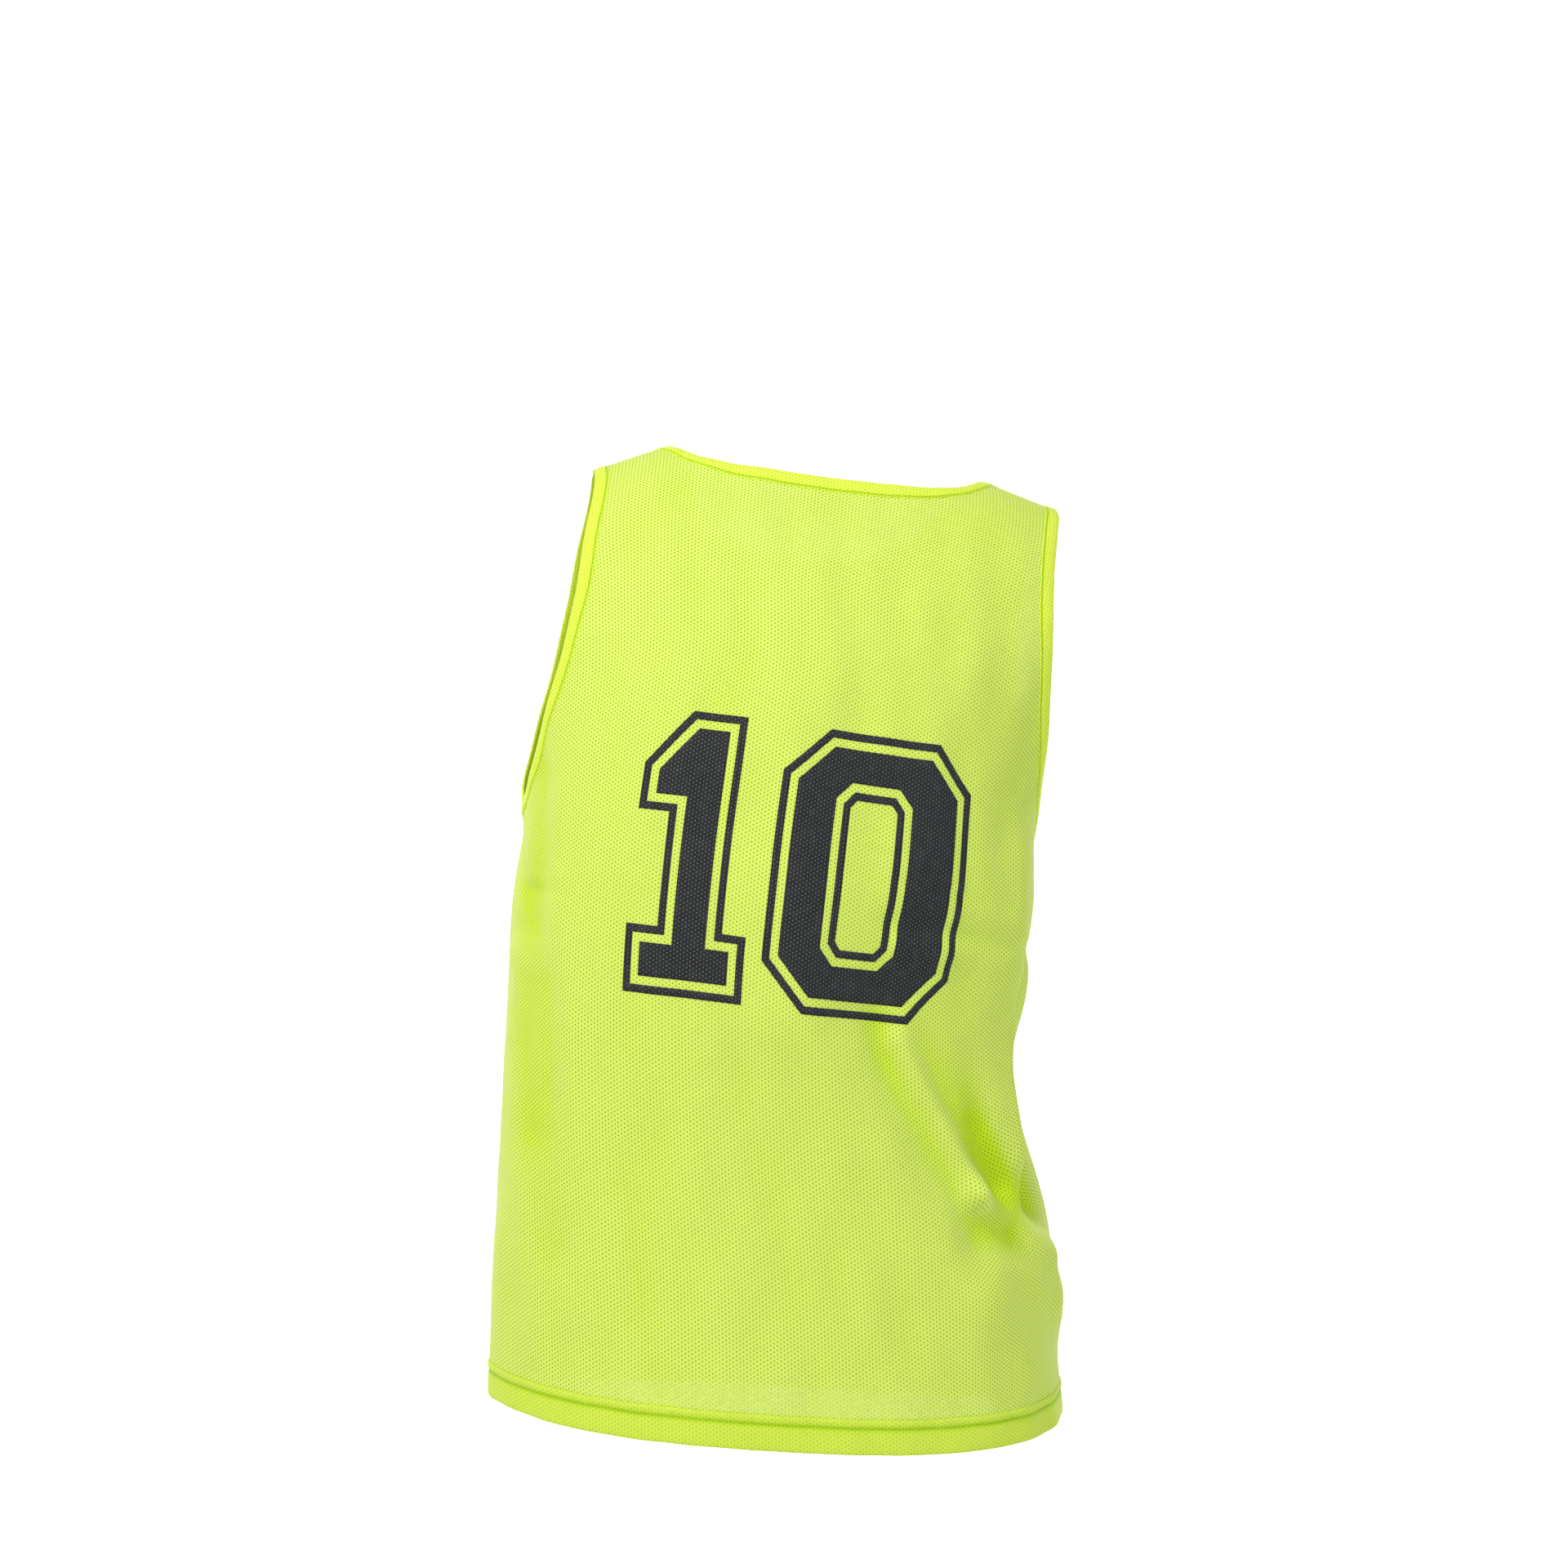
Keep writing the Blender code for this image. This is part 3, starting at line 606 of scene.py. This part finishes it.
def all_round(back_cut, front_cut):
    """Closed line round the bib, along the back and home along the front: place, way out, cut."""
    back, back_out = draped(back_cut, 1)
    front, front_out = draped(front_cut, -1)
    home = slice(-2, 0, -1)
    return (np.concatenate([back, front[home]]), np.concatenate([back_out, front_out[home]]),
            np.concatenate([back_cut, front_cut[home]]))


def folded_strip(name, lines, profile, width, material, node):
    """Closed strip folded over an edge; lines(inset) gives its line on the back and the front."""
    outer = []
    inner = []
    flats = []
    depths = []
    for share, half, groove in profile:
        middle, outward, flat = all_round(*lines(share * width))
        outer.append(middle + half * outward)
        inner.append(middle - half * outward)
        flats.append(flat)
        # a made-up depth in the line of sewing, which only sets the strip's painted shade
        depths.append(np.full(len(flat), groove * GROOVE_SHADE))
    rings = outer + inner[:0:-1]
    grid = np.arange(len(rings) * len(rings[0])).reshape(len(rings), -1)
    after = np.roll(grid, -1, axis=0)
    faces = np.stack([grid, np.roll(grid, -1, axis=1), np.roll(after, -1, axis=1), after], axis=-1)
    return finish_piece(name, np.concatenate(rings), faces.reshape(-1, 4).tolist(),
                        np.concatenate(flats + flats[:0:-1]), material, [node],
                        np.concatenate(depths + depths[:0:-1]))


def armhole_lines(hand):
    def lines(inset):
        edge = armhole_edge(inset) * (hand, 1)
        return edge, edge
    return lines


def neck_lines(inset):
    return (whole_neck(BACK_NECK_DROP, inset, neck_columns()),
            whole_neck(FRONT_NECK_DROP, inset, neck_columns()))


def hem_lines(up):
    across = np.linspace(HALF_WIDTH, -HALF_WIDTH, 2 * HEM_COLUMNS)
    cut = np.stack([across, np.full(len(across), up)], axis=1)
    return cut, cut


# Sewing


def even_places(line, pitch, values=None):
    """The line, or values along it, at the start and at the end of each of its stitches."""
    values = line if values is None else values
    gaps = np.linalg.norm(np.diff(line, axis=0), axis=1)
    lengths = np.concatenate([[0.0], np.cumsum(gaps)])
    count = int(lengths[-1] / pitch)
    starts = (np.arange(count) + 0.5) * lengths[-1] / count

    def at(where):
        return np.stack([np.interp(where, lengths, values[:, i]) for i in range(3)], axis=1)

    return at(starts - STITCH_LENGTH / 2), at(starts + STITCH_LENGTH / 2)


def stitches(name, lines, material):
    """Short threads lying along closed lines of the cloth; each line comes with its ways out."""
    sides = STITCH_SIDES
    turns = 2 * math.pi * np.arange(sides) / sides
    points = []
    faces = []
    for line, outward in lines:
        starts, ends = even_places(line, STITCH_PITCH)
        ways, _ = even_places(line, STITCH_PITCH, outward)
        for start, end, way in zip(starts, ends, ways):
            along = (end - start) / np.linalg.norm(end - start)
            way = way - along * np.dot(way, along)
            way /= np.linalg.norm(way)
            sideways = np.cross(along, way)
            first = len(points)
            for share, girth in STITCH_SHAPE:
                centre = start + share * (end - start)
                round_thread = (np.cos(turns)[:, None] * way + np.sin(turns)[:, None] * sideways)
                points += list(centre + STITCH_RADIUS * girth * round_thread)
            for ring in range(len(STITCH_SHAPE) - 1):
                for k in range(sides):
                    a = first + ring * sides + k
                    b = first + ring * sides + (k + 1) % sides
                    faces.append((a, b, b + sides, a + sides))
            faces.append(tuple(first + k for k in range(sides)))
            last = first + (len(STITCH_SHAPE) - 1) * sides
            faces.append(tuple(last + k for k in reversed(range(sides))))
    points = np.array(points)
    return finish_piece(name, points, faces, points[:, [0, 2]], material)


def sewn_round(lines, distance, lift):
    """Line of sewing round the bib on its outer and its inner side, with the ways out."""
    middle, outward, _ = all_round(*lines(distance))
    middle = np.concatenate([middle, middle[:1]])
    outward = np.concatenate([outward, outward[:1]])
    return [(middle + sign * lift * outward, sign * outward) for sign in (1, -1)]


# Print


def moved_outline(points, distance):
    """Outline moved inward by distance; the points run anticlockwise."""
    points = np.array(points, dtype=float)
    moved = []
    for before, here, after in zip(np.roll(points, 1, axis=0), points, np.roll(points, -1, axis=0)):
        first = (here - before) / np.linalg.norm(here - before)
        second = (after - here) / np.linalg.norm(after - here)
        first_in = np.array([-first[1], first[0]])
        second_in = np.array([-second[1], second[0]])
        moved.append(here + distance * (first_in + second_in) / (1 + np.dot(first_in, second_in)))
    return np.array(moved)


def one_outline():
    """Block figure one, anticlockwise from its lower left corner."""
    stem_left, stem_right = ONE_STEM
    flag, flag_low, flag_high = ONE_FLAG
    return [(0, 0), (ONE_WIDTH, 0), (ONE_WIDTH, ONE_FOOT), (stem_right, ONE_FOOT),
            (stem_right, NUMBER_HEIGHT), (ONE_TOP_LEFT, NUMBER_HEIGHT), (flag, flag_high),
            (flag, flag_low), (stem_left, flag_low), (stem_left, ONE_FOOT), (0, ONE_FOOT)]


def zero_outline(inset_side, inset_cap, chamfer, shift=0.0):
    """Eight-cornered figure nought, anticlockwise, inset from its full size."""
    left = ONE_WIDTH + FIGURE_SPACE + inset_side + shift
    right = ONE_WIDTH + FIGURE_SPACE + ZERO_WIDTH - inset_side + shift
    low = inset_cap
    high = NUMBER_HEIGHT - inset_cap
    run, rise = chamfer
    return [(left + run, low), (right - run, low), (right, low + rise), (right, high - rise),
            (right - run, high), (left + run, high), (left, high - rise), (left, low + rise)]


def band_faces(flat, outer, inner):
    """Faces between an outline and the one inside it."""
    outer_verts = [flat.verts.new((x, y, 0.0)) for x, y in outer]
    inner_verts = [flat.verts.new((x, y, 0.0)) for x, y in inner]
    for k in range(len(outer_verts)):
        after = (k + 1) % len(outer_verts)
        flat.faces.new((outer_verts[k], outer_verts[after], inner_verts[after], inner_verts[k]))


def fill_face(flat, outline):
    face = flat.faces.new([flat.verts.new((x, y, 0.0)) for x, y in outline])
    face.normal_update()
    bmesh.ops.triangulate(flat, faces=[face])


def cut_in_cells(flat):
    """Cuts the flat print into small cells, so that it can follow the folds."""
    low = [min(v.co[i] for v in flat.verts) for i in (0, 1)]
    high = [max(v.co[i] for v in flat.verts) for i in (0, 1)]
    for axis in (0, 1):
        normal = (1, 0, 0) if axis == 0 else (0, 1, 0)
        for step in range(1, int((high[axis] - low[axis]) / PRINT_CELL) + 1):
            place = [0.0, 0.0, 0.0]
            place[axis] = low[axis] + step * PRINT_CELL
            bmesh.ops.bisect_plane(flat, geom=flat.verts[:] + flat.edges[:] + flat.faces[:],
                                   plane_co=place, plane_no=normal)


def printed(name, draw, material):
    """Thin layer of ink on the back; draw adds its flat faces, in the number's own sizes."""
    flat = bmesh.new()
    draw(flat)
    cut_in_cells(flat)
    flat.verts.index_update()
    centre = np.array([(ONE_WIDTH + FIGURE_SPACE + ZERO_WIDTH) / 2, NUMBER_HEIGHT / 2])
    x, y = (np.array([v.co[:2] for v in flat.verts]) - centre).T
    turned_x = x * math.cos(NUMBER_TURN) + y * math.sin(NUMBER_TURN)
    turned_y = y * math.cos(NUMBER_TURN) - x * math.sin(NUMBER_TURN)
    cut = np.stack([NUMBER_CENTRE_ACROSS - turned_x,
                    NUMBER_BOTTOM_UP + centre[1] + turned_y], axis=1)
    top = [tuple(v.index for v in face.verts) for face in flat.faces]
    count = len(cut)
    faces = top + [tuple(i + count for i in reversed(face)) for face in top]
    for edge in flat.edges:
        if len(edge.link_faces) == 1:
            a, b = (v.index for v in edge.verts)
            faces.append((a, b, b + count, a + count))
    flat.free()
    middle, outward = draped(cut, 1)
    base = NET_WALL / 2 + INK_LIFT
    points = two_faces(middle, outward, base + INK_WALL, base)
    return finish_piece(name, points, faces, np.tile(cut, (2, 1)), material)


def make_number(ink):
    """Plain squad number: outline, fill and, for the nought, an inner outline."""
    fill_inset = OUTLINE_STROKE + OUTLINE_GAP
    one = one_outline()
    zero = zero_outline(0.0, 0.0, ZERO_CHAMFER)
    zero_fill = moved_outline(zero, fill_inset)
    side_out = fill_inset + ZERO_STROKE
    cap_out = fill_inset + ZERO_CAP_STROKE
    zero_hole = zero_outline(side_out, cap_out, ZERO_HOLE_CHAMFER, ZERO_HOLE_SHIFT)
    counter = zero_outline(side_out + OUTLINE_GAP, cap_out + OUTLINE_GAP, COUNTER_CHAMFER,
                           ZERO_HOLE_SHIFT)
    printed("number_one_outline",
            lambda flat: band_faces(flat, one, moved_outline(one, OUTLINE_STROKE)), ink)
    printed("number_one_fill", lambda flat: fill_face(flat, moved_outline(one, fill_inset)), ink)
    printed("number_nought_outline",
            lambda flat: band_faces(flat, zero, moved_outline(zero, OUTLINE_STROKE)), ink)
    printed("number_nought_fill", lambda flat: band_faces(flat, zero_fill, zero_hole), ink)
    printed("number_nought_inner_outline",
            lambda flat: band_faces(flat, counter, moved_outline(counter, OUTLINE_STROKE)), ink)


# Materials


class Nodes:
    """Short way to add shader nodes."""

    def __init__(self, name):
        self.material = bpy.data.materials.new(name)
        self.material.use_nodes = True
        self.tree = self.material.node_tree
        self.shader = self.tree.nodes["Principled BSDF"]

    def add(self, kind, **settings):
        node = self.tree.nodes.new(kind)
        for key, value in settings.items():
            setattr(node, key, value)
        return node

    def join(self, source, target):
        self.tree.links.new(source, target)

    def math(self, operation, first, second=None):
        """Result of a sum on outputs or plain numbers."""
        node = self.add("ShaderNodeMath", operation=operation)
        for socket, value in zip(node.inputs, (first, second)):
            if value is None:
                continue
            if isinstance(value, (int, float)):
                socket.default_value = value
            else:
                self.join(value, socket)
        return node.outputs[0]

    def ramp(self, value, low, high):
        """0 below low and 1 above high, with a soft step between."""
        node = self.add("ShaderNodeMapRange", interpolation_type="SMOOTHSTEP")
        self.join(value, node.inputs["Value"])
        node.inputs["From Min"].default_value = low
        node.inputs["From Max"].default_value = high
        return node.outputs["Result"]

    def finish(self, values):
        """Sets inputs of the shader by their names."""
        for name, value in values.items():
            self.shader.inputs[name].default_value = value

    def bump(self, height, strength, distance):
        """Raises the surface where height is 1."""
        node = self.add("ShaderNodeBump")
        node.inputs["Strength"].default_value = strength
        node.inputs["Distance"].default_value = distance
        self.join(height, node.inputs["Height"])
        self.join(node.outputs["Normal"], self.shader.inputs["Normal"])

    def mix(self, share, first, second, **settings):
        """Colour mixed from two; the share of the second is an output or a number."""
        node = self.add("ShaderNodeMix", data_type="RGBA", **settings)
        if isinstance(share, float):
            node.inputs["Factor"].default_value = share
        else:
            self.join(share, node.inputs["Factor"])
        for name, colour in (("A", first), ("B", second)):
            socket = next(s for s in node.inputs if s.name == name and s.type == "RGBA")
            if isinstance(colour, tuple):
                socket.default_value = (*colour, 1.0)
            else:
                self.join(colour, socket)
        return next(s for s in node.outputs if s.type == "RGBA")


def hole_distance(nodes):
    """Distance from the middle of the nearest hole of the net."""
    place = nodes.add("ShaderNodeUVMap", uv_map="flat_cut")
    split = nodes.add("ShaderNodeSeparateXYZ")
    nodes.join(place.outputs["UV"], split.inputs[0])
    across = nodes.math("DIVIDE", split.outputs["X"], HOLE_COLUMN_PITCH)
    column = nodes.math("ROUND", across)
    out = nodes.math("MULTIPLY", nodes.math("SUBTRACT", across, column), HOLE_COLUMN_PITCH)
    stagger = nodes.math("MULTIPLY", nodes.math("PINGPONG", column, 1.0), 0.5)
    up = nodes.math("ADD", nodes.math("DIVIDE", split.outputs["Y"], HOLE_PITCH), stagger)
    rise = nodes.math("MULTIPLY", nodes.math("SUBTRACT", up, nodes.math("ROUND", up)), HOLE_PITCH)
    square = nodes.math("ADD", nodes.math("MULTIPLY", out, out), nodes.math("MULTIPLY", rise, rise))
    return nodes.math("SQRT", square)


def thread_share(nodes, distance, radius):
    """0 in the holes of the net and 1 on its threads."""
    return nodes.ramp(distance, radius - HOLE_SOFT_EDGE, radius + HOLE_SOFT_EDGE)


def rounded_rim(nodes, distance, span):
    """Soft step from 0 to 1 over the edge of a hole; the span is in shares of its radius."""
    return nodes.ramp(distance, *(HOLE_RADIUS * share for share in span))


def noise_share(nodes, scale, detail, span):
    """Noise in the object's own space, from 0 below the span to 1 above it."""
    place = nodes.add("ShaderNodeTexCoord")
    texture = nodes.add("ShaderNodeTexNoise")
    texture.inputs["Scale"].default_value = scale
    texture.inputs["Detail"].default_value = detail
    nodes.join(place.outputs["Object"], texture.inputs["Vector"])
    return nodes.ramp(texture.outputs["Fac"], *span)


def cloth_material(name, colour, fold_painted_shade, hole_painted_shade, see_through):
    """Knitted net in one colour, with a fuzzy sheen, rounded hole edges, and painted shade down in
    its folds and round its holes.
    """
    nodes = Nodes(name)
    shader = nodes.shader
    distance = hole_distance(nodes)
    fold = nodes.add("ShaderNodeAttribute", attribute_name="fold_depth")
    # Painted shade: deeper, darker colour down in folds and lines of sewing, fading to the plain
    # colour on ridges
    painted_shade_colour = tuple(c * k for c, k in zip(colour, fold_painted_shade))
    base = nodes.mix(nodes.ramp(fold.outputs["Fac"], *PAINTED_SHADE_SPAN), painted_shade_colour, colour)
    rim = rounded_rim(nodes, distance, HOLE_RIM)
    # Painted shade round each hole of the net, and dots of it on the strips
    shaded = nodes.mix(1.0, base, nodes.mix(rim, hole_painted_shade, WHITE), blend_type="MULTIPLY")
    nodes.join(shaded, shader.inputs["Base Color"])
    nodes.finish(CLOTH_FINISH)
    nodes.bump(rim, *CLOTH_BUMP)
    if see_through:
        thread = thread_share(nodes, distance, HOLE_RADIUS)
        nodes.join(nodes.math("MAXIMUM", thread, HOLE_FIBRES), shader.inputs["Alpha"])
    return nodes.material


def ink_material():
    """Matt screen print, open at the holes of the net, a little worn, with pale grey in its holes:
    partly fibres that took little ink, partly painted glint.
    """
    nodes = Nodes("charcoal_print")
    shader = nodes.shader
    distance = hole_distance(nodes)
    thread = thread_share(nodes, distance, INK_HOLE_RADIUS)
    wear = noise_share(nodes, *INK_WEAR)
    worn = tuple(c * WORN_INK_TONE for c in INK_COLOUR)
    # pale grey in the holes is partly painted glint
    base = nodes.mix(thread, INK_HOLE_FIBRE_AND_GLINT_COLOUR, nodes.mix(wear, INK_COLOUR, worn))
    nodes.join(base, shader.inputs["Base Color"])
    nodes.finish(INK_FINISH)
    nodes.bump(rounded_rim(nodes, distance, INK_HOLE_RIM), *INK_BUMP)
    nodes.join(nodes.math("MAXIMUM", thread, INK_HOLE_FIBRES), shader.inputs["Alpha"])
    return nodes.material


def thread_material():
    """Twisted sewing thread."""
    nodes = Nodes("sewing_thread")
    twist = noise_share(nodes, *THREAD_TWIST)
    darker = tuple(c * THREAD_SHADE for c in THREAD_COLOUR)
    nodes.join(nodes.mix(twist, THREAD_COLOUR, darker), nodes.shader.inputs["Base Color"])
    nodes.finish(THREAD_FINISH)
    return nodes.material


def label_material():
    """Plain woven tape with nothing on it."""
    nodes = Nodes("blank_label")
    place = nodes.add("ShaderNodeUVMap", uv_map="flat_cut")
    weave = nodes.add("ShaderNodeTexWave", wave_type="BANDS", bands_direction="Y")
    weave.inputs["Scale"].default_value = LABEL_WEAVE_SCALE
    nodes.join(place.outputs["UV"], weave.inputs["Vector"])
    shadow = tuple(c * LABEL_SHADE for c in LABEL_COLOUR)
    tone = nodes.mix(weave.outputs["Fac"], shadow, LABEL_COLOUR)
    nodes.join(tone, nodes.shader.inputs["Base Color"])
    nodes.finish(LABEL_FINISH)
    return nodes.material


# Studio


def make_camera():
    look = np.array([-math.sin(CAMERA_AZIMUTH), math.cos(CAMERA_AZIMUTH), 0.0])
    data = bpy.data.cameras.new("camera")
    data.lens = CAMERA_LENS
    data.sensor_width = CAMERA_SENSOR
    data.clip_end = VIEW_END
    camera = bpy.data.objects.new("camera", data)
    camera.location = np.array(CAMERA_TARGET) - CAMERA_DISTANCE * look
    camera.rotation_euler = (math.pi / 2, 0.0, CAMERA_AZIMUTH)
    bpy.context.scene.collection.objects.link(camera)
    bpy.context.scene.camera = camera


def area_light(name, place, target, size, power, colour):
    data = bpy.data.lights.new(name, "AREA")
    data.shape = "SQUARE"
    data.size = size
    data.energy = power
    data.color = colour
    light = bpy.data.objects.new(name, data)
    light.location = place
    way = np.array(target) - np.array(place)
    light.rotation_euler = (math.atan2(math.hypot(way[0], way[1]), -way[2]), 0.0,
                            math.atan2(-way[0], way[1]))
    bpy.context.scene.collection.objects.link(light)


def make_floor():
    """Pale floor that curves up all round into a pale wall."""
    white = Nodes("studio_white")
    white.finish(STUDIO_FINISH)
    bowl = bmesh.new()
    profile = [(0.0, 0.0)]
    for k in range(BOWL_BEND_STEPS + 1):
        turn = math.pi / 2 * k / BOWL_BEND_STEPS
        profile.append((BOWL_RADIUS - BOWL_BEND + BOWL_BEND * math.sin(turn),
                        BOWL_BEND * (1 - math.cos(turn))))
    profile.append((BOWL_RADIUS, BOWL_TOP))
    verts = [bowl.verts.new((r, 0.0, FLOOR_Z + z)) for r, z in profile]
    edges = [bowl.edges.new(pair) for pair in zip(verts, verts[1:])]
    bmesh.ops.spin(bowl, geom=verts + edges, cent=(0, 0, 0), axis=(0, 0, 1),
                   angle=2 * math.pi, steps=BOWL_SIDES)
    bmesh.ops.remove_doubles(bowl, verts=bowl.verts, dist=BOWL_MERGE)
    bmesh.ops.recalc_face_normals(bowl, faces=bowl.faces)
    mesh = bpy.data.meshes.new("studio_floor")
    bowl.to_mesh(mesh)
    bowl.free()
    mesh.materials.append(white.material)
    mesh.shade_smooth()
    floor = bpy.data.objects.new("studio_floor", mesh)
    bpy.context.scene.collection.objects.link(floor)


def make_studio():
    """The floor, an even glow from all sides, and large soft lights."""
    make_floor()
    world = bpy.data.worlds.new("studio")
    world.use_nodes = True
    glow = world.node_tree.nodes["Background"]
    glow.inputs["Color"].default_value = (*WHITE, 1.0)
    glow.inputs["Strength"].default_value = WORLD_STRENGTH
    bpy.context.scene.world = world
    bpy.context.scene.view_settings.view_transform = "Standard"
    for light in LIGHTS:
        area_light(*light)


# The bib


def flat_area(cut_edge):
    """Area inside a closed outline."""
    x, y = np.array(cut_edge).T
    return abs(np.dot(x, np.roll(y, -1)) - np.dot(y, np.roll(x, -1))) / 2


def panel_area(neck_drop):
    """Flat area of a whole panel as cut, hem and bound edges included."""
    armhole = armhole_edge(0.0)
    neck = neck_edge(neck_drop, 0.0, neck_columns())
    half = np.concatenate([[(0.0, 0.0), (HALF_WIDTH, 0.0)], armhole, neck])
    return 2 * flat_area(half)


def make_bib():
    net = cloth_material("yellow_green_net", NET_COLOUR, HOLLOW_PAINTED_SHADE, HOLE_RIM_PAINTED_SHADE, True)
    binding = cloth_material("yellow_green_binding", BINDING_COLOUR, GROOVE_PAINTED_SHADE, DOT_PAINTED_SHADE, False)
    hem_cloth = cloth_material("yellow_green_hem", HEM_COLOUR, GROOVE_PAINTED_SHADE, DOT_PAINTED_SHADE, False)
    thread = thread_material()
    white = label_material()
    back = net_panel("net_back", BACK_NECK_DROP, 1, net, "back_panel")
    front = net_panel("net_front", FRONT_NECK_DROP, -1, net, "front_panel")
    neck = folded_strip("binding_neck", neck_lines, BINDING_PROFILE, NECK_BINDING,
                        binding, "neck_binding")
    arms = [folded_strip(f"binding_armhole_{word}", armhole_lines(hand), BINDING_PROFILE,
                         ARMHOLE_BINDING, binding, f"armhole_binding_{word}")
            for word, hand in (("left", 1), ("right", -1))]
    hem = folded_strip("hem_turned", hem_lines, HEM_PROFILE, HEM_BAND, hem_cloth, "hem_band")
    label = make_label(white)
    sewing = make_sewing(thread)
    make_number(ink_material())
    panel_area(BACK_NECK_DROP)
    panel_area(FRONT_NECK_DROP)


def make_label(material):
    """Small blank label, its top sewn in under the neck binding."""
    top = NECK_TO_HEM - BACK_NECK_DROP
    low = top - NECK_BINDING - LABEL_HEIGHT
    across = np.linspace(-LABEL_WIDTH / 2, LABEL_WIDTH / 2, LABEL_STEPS)
    up = np.linspace(low, top - NECK_BINDING / 2, LABEL_STEPS)
    cut = np.stack(np.meshgrid(across, up), axis=-1)
    rest = -(NET_WALL / 2 + LABEL_GAP + LABEL_WALL / 2)
    curl = -LABEL_CURL * ((up[:, None] - up[-1]) / (up[0] - up[-1])) ** 2
    middle, outward = draped(cut, 1)
    middle = middle + outward * (rest + curl)[..., None]
    points = two_faces(middle, outward, LABEL_WALL / 2, -LABEL_WALL / 2)
    flat = np.tile(cut.reshape(-1, 2), (2, 1))
    return finish_piece("label_blank", points, sheet_faces(LABEL_STEPS, LABEL_STEPS), flat, material,
                        ["neck_label"])


def make_sewing(thread):
    """One line of sewing on each binding and on the hem, outside and inside."""
    groove = next(half for share, half, _ in BINDING_PROFILE if share == STITCH_LINE)
    hem_groove = next(half for share, half, _ in HEM_PROFILE if share == HEM_STITCH_LINE)
    armhole = STITCH_LINE * ARMHOLE_BINDING
    rows = [("sewing_neck", neck_lines, STITCH_LINE * NECK_BINDING, groove, "binding"),
            ("sewing_armhole_left", armhole_lines(1), armhole, groove, "binding"),
            ("sewing_armhole_right", armhole_lines(-1), armhole, groove, "binding"),
            ("sewing_hem", hem_lines, HEM_STITCH_LINE * HEM_BAND, hem_groove, "hem")]
    return [stitches(name, sewn_round(lines, distance, lift), thread)
            for name, lines, distance, lift, slot in rows]


make_camera()
make_studio()
make_bib()
